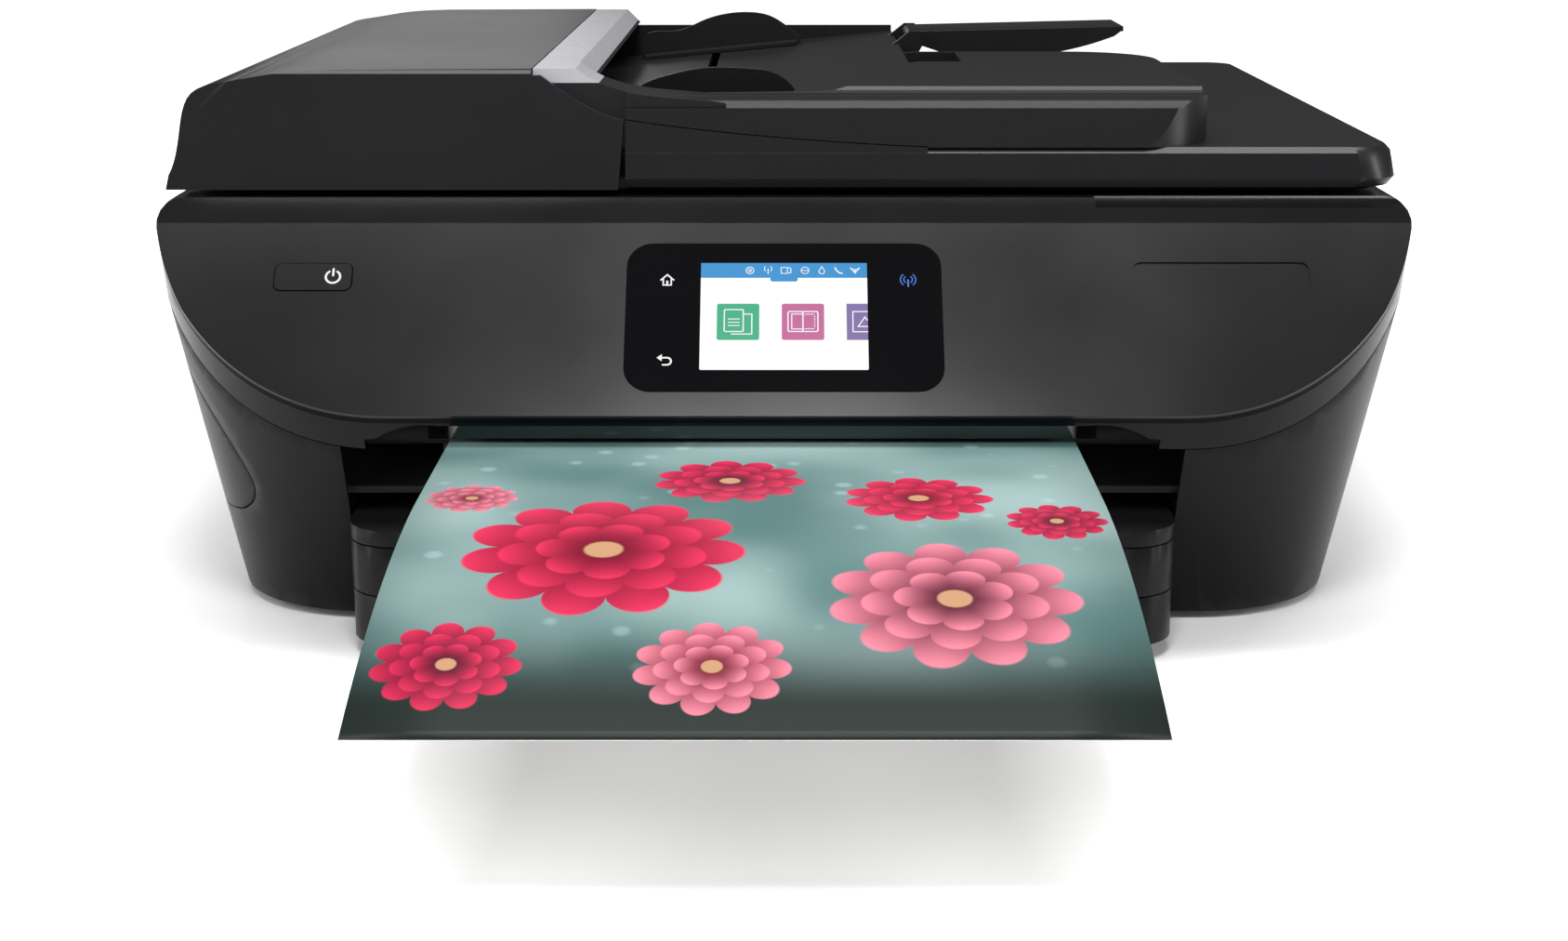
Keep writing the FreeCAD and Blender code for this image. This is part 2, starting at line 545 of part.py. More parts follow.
for side in (-1, 1):
    cell_x = CARRIAGE_X + side * (CELL + WALL) / 2
    cells.append(box(cell_x - CELL / 2, cell_x + CELL / 2, CARRIAGE_FRONT - 1, BAY_BACK,
                     CARRIAGE_Z + WALL, CARRIAGE_TOP - WALL))
    x0, x1 = cell_x - CELL / 2 + SLIDE, cell_x + CELL / 2 - SLIDE
    body_side = [
        (CARRIAGE_FRONT - 3, CARRIAGE_Z + WALL + SLIDE), (CARRIAGE_FRONT - 3, CARRIAGE_Z + 10),
        (CARRIAGE_FRONT + 2, CARRIAGE_TOP - WALL - SLIDE - 5),
        (CARRIAGE_FRONT + 7, CARRIAGE_TOP - WALL - SLIDE),
        (BAY_BACK - 1, CARRIAGE_TOP - WALL - SLIDE), (BAY_BACK - 1, CARRIAGE_Z + WALL + SLIDE),
    ]
    cartridge = prism_x(body_side, x0, x1)
    grip = box(x0 + 4, x1 - 4, CARRIAGE_FRONT - 8, CARRIAGE_FRONT - 2, CARRIAGE_Z + 5, CARRIAGE_Z + 7)
    cartridges.append(cartridge.fuse(grip))
rod_hole = rod_x(CHASSIS_LEFT, CHASSIS_RIGHT + 40, ROD_Y, ROD_Z, ROD_RADIUS + RUN)
clamp = box(CARRIAGE_X - 10, CARRIAGE_X + 10, ROD_Y + 9, BELT_Y - 4.5, BELT_Z + PULLEY_RADIUS - 6,
            BELT_Z + PULLEY_RADIUS + 4)
parts["print_carriage"] = carriage.cut(cells).fuse(clamp).cut(rod_hole)
parts["black_cartridge"] = cartridges[0]
parts["colour_cartridge"] = cartridges[1]

# Carriage drive: motor and pulley at the right, idler pulley at the left, and the belt.
pulleys = []
for pulley_x, bore in ((PULLEY_LEFT, 2.0 + RUN), (PULLEY_RIGHT, 1.5)):
    pulley = rod_y(BELT_Y - 4, BELT_Y + 4, pulley_x, BELT_Z, PULLEY_RADIUS)
    flanges = [rod_y(BELT_Y - 4, BELT_Y - 3, pulley_x, BELT_Z, PULLEY_RADIUS + 2.5),
               rod_y(BELT_Y + 3, BELT_Y + 4, pulley_x, BELT_Z, PULLEY_RADIUS + 2.5)]
    pulleys.append(pulley.fuse(flanges).cut(rod_y(BELT_Y - 9, BELT_Y + 9, pulley_x, BELT_Z, bore)))
parts["idler_pulley"] = pulleys[0]
parts["drive_pulley"] = pulleys[1].fuse(rod_y(BELT_Y - 4, BACK_Y + 8, PULLEY_RIGHT, BELT_Z, 1.5))
parts["carriage_belt"] = belt_loop((PULLEY_LEFT, BELT_Z), (PULLEY_RIGHT, BELT_Z), PULLEY_RADIUS + 0.3, 1.2,
                                   "y", BELT_Y - 2.5, 5)
motor = rod_y(BACK_Y + CHASSIS_SHEET, BACK_Y + 34, PULLEY_RIGHT, BELT_Z, 14.0)
motor_bore = rod_y(BACK_Y, BACK_Y + 12, PULLEY_RIGHT, BELT_Z, 1.5 + RUN)
parts["carriage_motor"] = motor.cut(motor_bore)

# Electronics at the back: board with sockets, power supply with its inlet, card reader at the left.
board_x0, board_x1 = CHASSIS_LEFT + 24, BAY_CENTRE + 50
board_z = INNER_DECK_TOP + 5
board = box(board_x0, board_x1, BACK_Y + 50, REAR_Y - 30, board_z, board_z + 1.6)
board_parts = [box(board_x0 + 46, board_x0 + 76, BACK_Y + 70, BACK_Y + 100, board_z + 1, board_z + 4),
               box(board_x0 + 100, board_x0 + 118, BACK_Y + 64, BACK_Y + 82, board_z + 1, board_z + 3.4),
               box(board_x0 + 18, board_x0 + 30, BACK_Y + 60, BACK_Y + 110, board_z + 1, board_z + 8)]
for post_x in (board_x0 + 6, board_x1 - 6):
    for post_y in (BACK_Y + 56, REAR_Y - 36):
        board_parts.append(rod_z(INNER_DECK_TOP, board_z + 0.5, post_x, post_y, 3.5))
parts["main_board"] = board.fuse(board_parts)

port_x0, port_x1 = board_x0 + 20, board_x0 + 92
port_z0, port_z1 = board_z + 1.6, board_z + 17
port_block = box(port_x0, port_x1, REAR_Y - 36, REAR_Y - 1.6, port_z0, port_z1)
sockets = [box(port_x0 + 4, port_x0 + 20, REAR_Y - 16, REAR_Y + 5, port_z0 + 2, port_z0 + 13.4),
           box(port_x0 + 27, port_x0 + 39, REAR_Y - 16, REAR_Y + 5, port_z0 + 2.2, port_z0 + 13),
           box(port_x0 + 46, port_x0 + 57, REAR_Y - 14, REAR_Y + 5, port_z0 + 2.6, port_z0 + 12),
           box(port_x0 + 60, port_x0 + 71, REAR_Y - 14, REAR_Y + 5, port_z0 + 2.6, port_z0 + 12)]
parts["port_block"] = port_block.cut(sockets)
port_window = box(port_x0 - SEAM, port_x1 + SEAM, REAR_Y - 40, REAR_Y + 5, port_z0 - SEAM, port_z1 + SEAM)

supply_x0, supply_x1 = board_x1 + 14, CHASSIS_CENTRE + DECK_HALF - 14
parts["power_supply"] = box(supply_x0, supply_x1, BACK_Y + 60, REAR_Y - 32,
                            INNER_DECK_TOP, INNER_DECK_TOP + 40)
inlet_x = supply_x0 + 30
inlet_z = INNER_DECK_TOP + 16
inlet = box(inlet_x - 14, inlet_x + 14, REAR_Y - 32, REAR_Y - 1.6, inlet_z - 9, inlet_z + 9)
inlet_face = Part.Face(rounded_wire(inlet_x - 9.2, inlet_x + 9.2, -5.2, 5.2, 0, 5.19, 5.19))
inlet_well = inlet_face.extrude(Vec(0, 0, 16))
inlet_well.Placement = FreeCAD.Placement(Vec(0, REAR_Y, inlet_z), FreeCAD.Rotation(Vec(1, 0, 0), 90))
inlet_pins = [rod_y(REAR_Y - 17, REAR_Y - 7, inlet_x + dx, inlet_z, 1.2) for dx in (-4.3, 4.3)]
parts["power_inlet"] = inlet.cut(inlet_well).fuse(inlet_pins)
inlet_window = box(inlet_x - 14 - SEAM, inlet_x + 14 + SEAM, REAR_Y - 40, REAR_Y + 5,
                   inlet_z - 9 - SEAM, inlet_z + 9 + SEAM)

HINGE_AT = (BAY_LEFT + 36, BAY_RIGHT - 36)
back = back.cut([port_window, inlet_window])
saddles = []
for hinge_x in HINGE_AT:
    tower = box(hinge_x - 16, hinge_x + 16, HINGE_Y - 4.6, REAR_Y - WALL - 1, SPLIT_HEIGHT - 34,
                SPLIT_HEIGHT - REAR_STEP)
    foot_rib = box(hinge_x - 16, hinge_x + 16, HINGE_Y - 4.6, REAR_Y - 2, SPLIT_HEIGHT - 34,
                   SPLIT_HEIGHT - REAR_STEP - 12)
    rest = box(hinge_x - 16, hinge_x + 16, HINGE_Y - 4.6, HINGE_Y + 1.6, SPLIT_HEIGHT - 8, SPLIT_HEIGHT + 1.4)
    gap = box(hinge_x - 6.4, hinge_x + 6.4, HINGE_Y - 6, REAR_Y + 3, SPLIT_HEIGHT - 6, SPLIT_HEIGHT + 8)
    bore = rod_x(hinge_x - 12, hinge_x + 12, HINGE_Y, HINGE_Z, 1.8)
    saddles.append(tower.fuse([foot_rib.common(case_hull(1, SPLIT_HEIGHT + 1)), rest]).cut([gap, bore]))
back = back.fuse(saddles)
for hinge_x in HINGE_AT:
    back = back.cut(box(hinge_x - 6.4, hinge_x + 6.4, HINGE_Y - 6, REAR_Y + 3,
                        SPLIT_HEIGHT - 6, SPLIT_HEIGHT + 8))
hinge_pins = [rod_x(hinge_x - 12, hinge_x + 12, HINGE_Y, HINGE_Z, 1.8) for hinge_x in HINGE_AT]
parts["rear_cover"] = back.fuse(hinge_pins)

reader_x = CHASSIS_CENTRE - DECK_HALF - 4
reader_y = from_front(EXIT_SETBACK + 28)
skin_x = max(door_axis(SHELF_TOP).x, door_axis(SHELF_TOP + READER_HEIGHT).x) + WALL / 2
reader_x0 = skin_x + READER_GAP
reader = box(reader_x0, reader_x, reader_y, reader_y + 36, SHELF_TOP, SHELF_TOP + READER_HEIGHT)
reader_slots = [
    box(reader_x0 - 3, reader_x - 3, reader_y + 5, reader_y + 31, SHELF_TOP + 8.5, SHELF_TOP + 11.5),
    box(reader_x0 - 3, reader_x - 3, reader_y + 10, reader_y + 26, SHELF_TOP + 2, SHELF_TOP + 6.5),
]
parts["card_reader"] = reader.cut(reader_slots)

# Upper case: fascia and trim follow the slanted panel, the scanner bed carries the deck.
ARCH_LEFT = BAY_CENTRE - EXIT_ARCH / 2
ARCH_RIGHT = BAY_CENTRE + EXIT_ARCH / 2
ARCH_TOP = PANEL_FOOT - 4
BAND_FOOT = panel_yz(0, -BAND_DEPTH)[1]
fascia = HULL.common(panel_slab(0, -FASCIA, -60, PANEL_LENGTH))
glass_x0, glass_x1 = -GLASS_WIDTH / 2, GLASS_WIDTH / 2
glass_cut = rounded_block(glass_x0 - 0.2, glass_x1 + 0.2, GLASS_FOOT - 0.2, GLASS_FOOT + GLASS_HEIGHT + 0.2,
                          -GLASS_THICK + 0.3, 5, GLASS_CORNER, GLASS_CORNER)
screen_cut = box(-SCREEN_WIDTH / 2 - 1, SCREEN_WIDTH / 2 + 1,
                 SCREEN_FOOT - 1, SCREEN_FOOT + SCREEN_HEIGHT + 1, -9, 5)
button_cut = rounded_block(BUTTON_X - BUTTON_WIDTH / 2 - SEAM, BUTTON_X + BUTTON_WIDTH / 2 + SEAM,
                           BUTTON_FOOT - SEAM, BUTTON_FOOT + BUTTON_HEIGHT + SEAM, -9, 5, 3, 3)
badge_cut = rounded_block(BADGE_X - BADGE_WIDTH / 2, BADGE_X + BADGE_WIDTH / 2, BADGE_FOOT,
                          BADGE_FOOT + BADGE_HEIGHT, -0.5, 5, 3, 3)
arch = [(ARCH_LEFT - 26, BAND_FOOT - 30), (ARCH_LEFT - 26, BAND_FOOT - 0.5)]
arch += smooth([(ARCH_LEFT - 22, BAND_FOOT), (ARCH_LEFT - 10, BAND_FOOT + 5), (ARCH_LEFT, ARCH_TOP)])
arch += smooth([(ARCH_RIGHT, ARCH_TOP), (ARCH_RIGHT + 10, BAND_FOOT + 5), (ARCH_RIGHT + 22, BAND_FOOT)])
arch += [(ARCH_RIGHT + 26, BAND_FOOT - 0.5), (ARCH_RIGHT + 26, BAND_FOOT - 30)]
arch_cut = prism_y(arch, FRONT_Y - 30, FRONT_Y + 60)
for tool in (glass_cut, screen_cut, button_cut, badge_cut):
    fascia = fascia.cut(on_panel(tool))
parts["control_panel"] = fascia
INNER_HULL = case_hull(WALL, DECK_HEIGHT + 3)
band = HULL.common(panel_slab(-FASCIA, -BAND_DEPTH, -70, PANEL_LENGTH)).cut(INNER_HULL)
parts["trim_band"] = band.cut(arch_cut)

parts["touch_glass"] = on_panel(rounded_block(glass_x0, glass_x1, GLASS_FOOT, GLASS_FOOT + GLASS_HEIGHT,
                                              -GLASS_THICK + 0.3, 0.3, GLASS_CORNER, GLASS_CORNER))
display = box(-SCREEN_WIDTH / 2, SCREEN_WIDTH / 2,
              SCREEN_FOOT, SCREEN_FOOT + SCREEN_HEIGHT, -6, -GLASS_THICK + 0.3)
carrier = box(-SCREEN_WIDTH / 2 - 8, SCREEN_WIDTH / 2 + 8, SCREEN_FOOT - 5, SCREEN_FOOT + SCREEN_HEIGHT + 5,
              -8, -FASCIA)
parts["display_module"] = on_panel(display.fuse(carrier))
cap = rounded_block(BUTTON_X - BUTTON_WIDTH / 2, BUTTON_X + BUTTON_WIDTH / 2, BUTTON_FOOT,
                    BUTTON_FOOT + BUTTON_HEIGHT, -FASCIA - 0.2, 0.3, 3 - SEAM, 3 - SEAM)
stem = box(BUTTON_X - 4, BUTTON_X + 4, BUTTON_FOOT + 2, BUTTON_FOOT + BUTTON_HEIGHT - 2, -6, -FASCIA)
parts["power_button"] = on_panel(cap.fuse(stem))
switch = box(BUTTON_X - 24, BUTTON_X + 24, BUTTON_FOOT - 6, BUTTON_FOOT + BUTTON_HEIGHT + 6, -9.5, -7.8)
switch_posts = [box(BUTTON_X + dx - 2, BUTTON_X + dx + 2,
                    BUTTON_FOOT, BUTTON_FOOT + BUTTON_HEIGHT, -8, -FASCIA)
                for dx in (-20, 20)]
parts["button_board"] = on_panel(switch.fuse(switch_posts))
SHIELD_Y = PANEL_Y + 5.5
shield_run = SHIELD_Y + 2 - PANEL_Y - FASCIA / COS_TILT
shield_z = PANEL_FOOT + shield_run / math.tan(math.radians(PANEL_TILT)) - 2.2
shield = box(ARCH_LEFT - 4, ARCH_RIGHT + 4, SHIELD_Y, SHIELD_Y + 2, SHEET_HEIGHT + 1.6, shield_z + 30)
shield_room = panel_slab(-FASCIA, -60, -60, PANEL_LENGTH)
parts["exit_shield"] = shield.common(shield_room)

BEVEL_Y = PANEL_Y + PANEL_LENGTH * SIN_TILT + 12
TOP_FRONT = panel_yz(PANEL_LENGTH, 0)
TOP_BACK = panel_yz(PANEL_LENGTH, -BAND_DEPTH)
bevel_run = (BEVEL_Y - TOP_FRONT[0]) / (DECK_HEIGHT - TOP_FRONT[1])
bed_profile = [
    KNEE_UP, TOP_BACK, TOP_FRONT, (BEVEL_Y + 5 * bevel_run, DECK_HEIGHT + 5),
    (REAR_Y + 10, DECK_HEIGHT + 5), (REAR_Y + 10, SPLIT_UP),
]
bed_inside = [
    (KNEE_UP[0] + WALL + 2, SPLIT_UP + WALL), (TOP_BACK[0] + WALL + 1, TOP_BACK[1] - 2),
    (BEVEL_Y + WALL, DECK_HEIGHT - 3), (REAR_Y + 10, DECK_HEIGHT - 3), (REAR_Y + 10, SPLIT_UP + WALL),
]
bed = HULL.common(prism_x(bed_profile, -CASE_WIDTH, CASE_WIDTH))
bed = bed.cut(INNER_HULL.common(prism_x(bed_inside, -CASE_WIDTH, CASE_WIDTH)))
SCAN_X0, SCAN_X1 = -CASE_HALF + SCAN_LEFT, CASE_HALF - SCAN_RIGHT
SCAN_Y0, SCAN_Y1 = from_front(SCAN_FRONT), REAR_Y - SCAN_BACK
STRIP_X0 = -CASE_HALF + STRIP_LEFT
STRIP_X1 = STRIP_X0 + STRIP_WIDTH
bed = bed.cut([
    box(SCAN_X0, SCAN_X1, SCAN_Y0, SCAN_Y1, DECK_HEIGHT - 2, DECK_HEIGHT + 3),
    box(SCAN_X0 + 5, SCAN_X1 - 5, SCAN_Y0 + 5, SCAN_Y1 - 5, DECK_HEIGHT - 9, DECK_HEIGHT + 3),
    box(STRIP_X0, STRIP_X1, SCAN_Y0, SCAN_Y1, DECK_HEIGHT - 2, DECK_HEIGHT + 3),
    box(STRIP_X0 + 4, STRIP_X1 - 4, SCAN_Y0 + 5, SCAN_Y1 - 5, DECK_HEIGHT - 9, DECK_HEIGHT + 3),
])
parts["scan_glass"] = Part.makeCompound([
    box(SCAN_X0, SCAN_X1, SCAN_Y0, SCAN_Y1, DECK_HEIGHT - 2, DECK_HEIGHT),
    box(STRIP_X0, STRIP_X1, SCAN_Y0, SCAN_Y1, DECK_HEIGHT - 2, DECK_HEIGHT),
])
RAIL_Y = (SCAN_Y0 + SCAN_Y1) / 2
RAIL_Z = SPLIT_UP + WALL + 9
RAIL_END = SPLIT_WIDTH / 2 - 14
posts = [box(x - 4, x + 4, RAIL_Y - 7, RAIL_Y + 7, SPLIT_UP + 1, RAIL_Z + 7) for x in (-RAIL_END, RAIL_END)]
bed = bed.fuse(posts).cut(rod_x(-RAIL_END - 9, RAIL_END + 9, RAIL_Y, RAIL_Z, 4.0))
parts["scan_rail"] = rod_x(-RAIL_END - 4, RAIL_END + 4, RAIL_Y, RAIL_Z, 4.0)
scan_bar = box(STRIP_X0 - 6, STRIP_X1 + 6, SCAN_Y0 + 1, SCAN_Y1 - 1, RAIL_Z - 3, DECK_HEIGHT - 5)
scan_bar = scan_bar.fuse(box(STRIP_X0 - 6, STRIP_X1 + 6, RAIL_Y - 12, RAIL_Y + 12, RAIL_Z - 7, RAIL_Z))
scan_bar = scan_bar.cut([rod_x(STRIP_X0 - 9, STRIP_X1 + 9, RAIL_Y, RAIL_Z, 4.0 + RUN),
                         box((STRIP_X0 + STRIP_X1) / 2 - 3, (STRIP_X0 + STRIP_X1) / 2 + 3,
                             SCAN_Y0 + 6, SCAN_Y1 - 6,
                             DECK_HEIGHT - 9, DECK_HEIGHT)])
parts["scan_bar"] = scan_bar

for hinge_x in HINGE_AT:
    room = box(hinge_x - 17, hinge_x + 17, HINGE_Y - 6, REAR_Y - WALL - 0.2,
               SPLIT_HEIGHT - 1, SPLIT_HEIGHT + 5.6)
    roof = box(hinge_x - 19, hinge_x + 19, HINGE_Y - 8, REAR_Y - WALL, SPLIT_UP + 1, SPLIT_HEIGHT + 8)
    ear = rod_x(hinge_x - 6, hinge_x + 6, HINGE_Y, HINGE_Z, 4.0)
    web = box(hinge_x - 6, hinge_x + 6, HINGE_Y - 3, HINGE_Y + 3, HINGE_Z, SPLIT_HEIGHT + 7)
    bed = bed.fuse(roof.common(INNER_HULL)).cut(room).fuse([ear, web])
    bed = bed.cut(rod_x(hinge_x - 14, hinge_x + 14, HINGE_Y, HINGE_Z, 1.8 + RUN))

# Lid hinges: two brackets on the deck hold pins, barrels on the lid turn on them.
LID_AXIS_Y = LID_REAR_Y - 3
LID_AXIS_Z = DECK_HEIGHT + 5
LID_HINGE_AT = (-CASE_HALF + 58, CASE_HALF - 58)
brackets = []
for hinge_x in LID_HINGE_AT:
    towers = [box(hinge_x + dx - 3, hinge_x + dx + 3,
                  LID_AXIS_Y - 5, LID_AXIS_Y + 4, DECK_HEIGHT - DECK_ROUND,
                  LID_AXIS_Z + 4.5) for dx in (-10, 10)]
    pin = rod_x(hinge_x - 13, hinge_x + 13, LID_AXIS_Y, LID_AXIS_Z, 1.8)
    brackets.append(pin.fuse(towers).cut(HULL))
parts["lid_hinges"] = Part.makeCompound(brackets)
grip = rod_x(CASE_HALF - GRIP_LENGTH, CASE_HALF + 5, BEVEL_Y - 4, DECK_HEIGHT + 9, 12)
parts["scanner_bed"] = bed.cut(grip)

# Lid slab: rolled lower edge, slight taper; its left part is lowered to carry the feeder.
LID_FRONT_Y = from_front(LID_SETBACK)
HOOD_FLOOR = LID_Z + 4


def lid_outline(z, inset, slope):
    return rounded_wire(-LID_HALF + inset, LID_HALF - inset, LID_FRONT_Y + inset + slope,
                        LID_REAR_Y - inset, z, 15, 12)


lid = loft([lid_outline(LID_Z, 6, 0), lid_outline(LID_Z + 1.5, 2, 0), lid_outline(LID_Z + 4.5, 0, 1),
            lid_outline(LID_TOP - 2, 1.5, LID_SLOPE - 0.5), lid_outline(LID_TOP, 3.2, LID_SLOPE)])
hood_zone = box(-CASE_WIDTH, HOOD_SKIRT + 0.6, -BODY_DEPTH, BODY_DEPTH, HOOD_FLOOR, LID_TOP + 5)
hood_edge = box(-CASE_WIDTH, HOOD_SKIRT + 0.6, -BODY_DEPTH, LID_FRONT_Y + 8, LID_Z - 1, LID_TOP + 5)
hood_left = box(-CASE_WIDTH, -LID_HALF + 8, -BODY_DEPTH, BODY_DEPTH, LID_Z - 1, LID_TOP + 5)
PAD = (STRIP_X0 + 4, SCAN_X1 + 8, SCAN_Y0 - 6, SCAN_Y1 + 8)
pad_well = box(PAD[0], PAD[1], PAD[2], PAD[3], LID_Z - 1, LID_Z + 2)
bin_well = box(HOOD_SKIRT + 6, LOBE_X - 6, from_front(100), from_front(362), HOOD_FLOOR + 1, LID_TOP + 5)
lid = lid.cut([hood_zone, hood_edge, hood_left, pad_well, bin_well])
for hinge_x in LID_HINGE_AT:
    lid = lid.cut(box(hinge_x - 14, hinge_x + 14, LID_AXIS_Y - 10.5, REAR_Y + 5, LID_Z - 1, LID_AXIS_Z + 10))
    barrel = rod_x(hinge_x - 6.5, hinge_x + 6.5, LID_AXIS_Y, LID_AXIS_Z, 3.8)
    strap_top = min(LID_AXIS_Z + 3.8, HOOD_FLOOR) if hinge_x < HOOD_SKIRT else LID_AXIS_Z + 3.8
    strap = box(hinge_x - 6.5, hinge_x + 6.5, LID_AXIS_Y - 11, LID_AXIS_Y, LID_Z, strap_top)
    lid = lid.fuse([barrel, strap]).cut(rod_x(hinge_x - 9, hinge_x + 9, LID_AXIS_Y, LID_AXIS_Z, 1.8 + RUN))
parts["lid_pad"] = box(PAD[0] + SEAM, PAD[1] - SEAM, PAD[2] + SEAM, PAD[3] - SEAM,
                       DECK_HEIGHT + SEAM, LID_Z + 2)

# Feeder hood: left side rolled over like a roll-top, front skirt reaching under the tray.
HOOD_TOP = DECK_HEIGHT + HOOD_HEIGHT
HOOD_LEFT = -LID_HALF + 0.5
HOOD_FRONT_Y = LID_FRONT_Y - 0.5
HOOD_REAR_Y = LID_REAR_Y - 3
CREASE_Y = HOOD_FRONT_Y + 11
HOOD_FOOT = LID_Z + 0.8
SWOOSH = smooth([(HOOD_RIGHT, HOOD_TOP + 0.2), (HOOD_RIGHT + 10, HOOD_TOP - 6.8),
                 (HOOD_RIGHT + 23, HOOD_TOP - 14.4), (HOOD_SKIRT, HOOD_TOP - 17.8)])
SKIRT_SLOPE = (CREASE_Y - HOOD_FRONT_Y) / (HOOD_TOP - HOOD_FOOT)


def front_line(z):
    """Y of the leaning front that hood, lid and tray share."""
    return HOOD_FRONT_Y + 0.5 + SKIRT_SLOPE * (z - HOOD_FOOT)


def hood_body(inset, foot):
    roll = smooth([(HOOD_LEFT + 1 + inset, LID_Z + 6), (HOOD_LEFT + 5 + inset, LID_Z + 22),
                   (HOOD_LEFT + 9 + inset, HOOD_TOP - 8.5 - inset),
                   (HOOD_LEFT + 22.5, HOOD_TOP - 4.2 - inset),
                   (HOOD_LEFT + 39.5, HOOD_TOP - 1.5 - inset), (HOOD_LEFT + 60, HOOD_TOP - 0.3 - inset)])
    across = [(HOOD_LEFT + inset, foot)] + roll
    across += [(HOOD_RIGHT - inset, HOOD_TOP - inset), (HOOD_RIGHT - inset, foot)]
    along = [(HOOD_FRONT_Y + inset, foot), (CREASE_Y - 0.5 + inset, HOOD_TOP - 1.6 - inset),
             (CREASE_Y + 1 + inset, HOOD_TOP - 0.4 - inset), (CREASE_Y + 4 + inset, HOOD_TOP + 1 - inset),
             (HOOD_REAR_Y - 19 - inset, HOOD_TOP + 1 - inset), (HOOD_REAR_Y - inset, foot)]
    return prism_y(across, -BODY_DEPTH, BODY_DEPTH).common(prism_x(along, -CASE_WIDTH, CASE_WIDTH))


hood = hood_body(0, HOOD_FOOT).cut(hood_body(WALL, HOOD_FOOT - 1))
throat = box(HOOD_RIGHT - 10, HOOD_RIGHT + 10, CREASE_Y + 1, HOOD_REAR_Y - 16, HOOD_FOOT - 1, HOOD_TOP - 6)
hood = hood.cut(throat)
skirt_front = [(HOOD_RIGHT - 1, HOOD_FOOT), (HOOD_RIGHT - 1, HOOD_TOP)]
skirt_front += SWOOSH + [(HOOD_SKIRT - 2, HOOD_FOOT)]
skirt_side = [(HOOD_FRONT_Y, HOOD_FOOT), (CREASE_Y, HOOD_TOP), (CREASE_Y + 2, HOOD_TOP),
              (HOOD_FRONT_Y + 2, HOOD_FOOT)]
skirt = prism_y(skirt_front, -BODY_DEPTH, BODY_DEPTH).common(prism_x(skirt_side, -CASE_WIDTH, CASE_WIDTH))
skirt = skirt.cut(box(-CASE_WIDTH, CASE_WIDTH, -BODY_DEPTH, BODY_DEPTH, HOOD_TOP - 2.2, HOOD_TOP + 5))
hood = hood.fuse(skirt)
hinge_room = box(LID_HINGE_AT[0] - 15, LID_HINGE_AT[0] + 15, LID_AXIS_Y - 11, REAR_Y + 5,
                 HOOD_FOOT - 2, LID_AXIS_Z + 10)
lid_room = box(-LID_HALF + 7.4, HOOD_RIGHT + 1, LID_FRONT_Y + 7.4, REAR_Y + 5,
               HOOD_FOOT - 2, HOOD_FLOOR + SEAM)
rear_room = box(-LID_HALF - 1, HOOD_RIGHT + 1, HOOD_REAR_Y - 12, REAR_Y + 5, HOOD_FOOT - 2, HOOD_FLOOR + SEAM)
hood = hood.cut([hinge_room, lid_room, rear_room])

# Hood hinge along the left edge: arms on the lid, bosses inside the hood.
HOOD_AXIS_X = HOOD_LEFT + 2.5
HOOD_AXIS_Z = LID_Z + 4
arms = []
hood_pins = []
for end, arm_y in ((1, HOOD_FRONT_Y + 26), (-1, HOOD_REAR_Y - 34)):
    arm = box(HOOD_AXIS_X - 2.5, -LID_HALF + 14, arm_y, arm_y + 8, LID_Z + 0.5, HOOD_AXIS_Z + 2.5)
    arms.append(arm)
    boss_y = arm_y + 9 if end > 0 else arm_y - 13
    pin_y = arm_y if end > 0 else arm_y - 11
    notch = box(HOOD_LEFT - 9, HOOD_AXIS_X + 7, arm_y - 1, arm_y + 9, HOOD_FOOT - 2, HOOD_AXIS_Z + 6)
    boss = rod_y(boss_y, boss_y + 12, HOOD_AXIS_X, HOOD_AXIS_Z, 3.0)
    boss = boss.fuse(box(HOOD_AXIS_X - 1, HOOD_AXIS_X + 3, boss_y, boss_y + 12, HOOD_AXIS_Z, HOOD_AXIS_Z + 3))
    hood = hood.cut(notch).fuse(boss.common(hood_body(0, HOOD_FOOT)))
    hood = hood.cut(rod_y(boss_y - 2, boss_y + 14, HOOD_AXIS_X, HOOD_AXIS_Z, 1.3 + RUN))
    hood_pins.append(rod_y(pin_y, pin_y + 19, HOOD_AXIS_X, HOOD_AXIS_Z, 1.3))
parts["feeder_hood"] = hood

# Front lip of the lid: it rises towards the hood and ends in the same sweep as the hood's skirt.
LIP_THICK = 3.0
lip_drop = HOOD_TOP - 17.9 - LID_TOP
lip_curve = smooth([(lerp(HOOD_SKIRT + 0.6, LOBE_X, run), LID_TOP + lip_drop * left)
                    for run, left in ((0, 1), (0.23, 0.66), (0.48, 0.38), (0.75, 0.15), (1, 0.01))])


def lip_zone(grow):
    """Leaning skin under the sweep, grown upwards and backwards by a seam where another piece meets it."""
    under = [(HOOD_SKIRT + 0.6 - grow, LID_TOP - 4)] + [(x, z + grow) for x, z in lip_curve]
    under += [(LOBE_X, LID_TOP - 4)]
    low, high = LID_TOP - 4, HOOD_TOP
    skin = [(front_line(low) - grow, low), (front_line(high) - grow, high),
            (front_line(high) + LIP_THICK + grow, high), (front_line(low) + LIP_THICK + grow, low)]
    return prism_y(under, -BODY_DEPTH, BODY_DEPTH).common(prism_x(skin, -CASE_WIDTH, CASE_WIDTH))


parts["lid_shell"] = lid.fuse(arms + hood_pins + [lip_zone(0)])

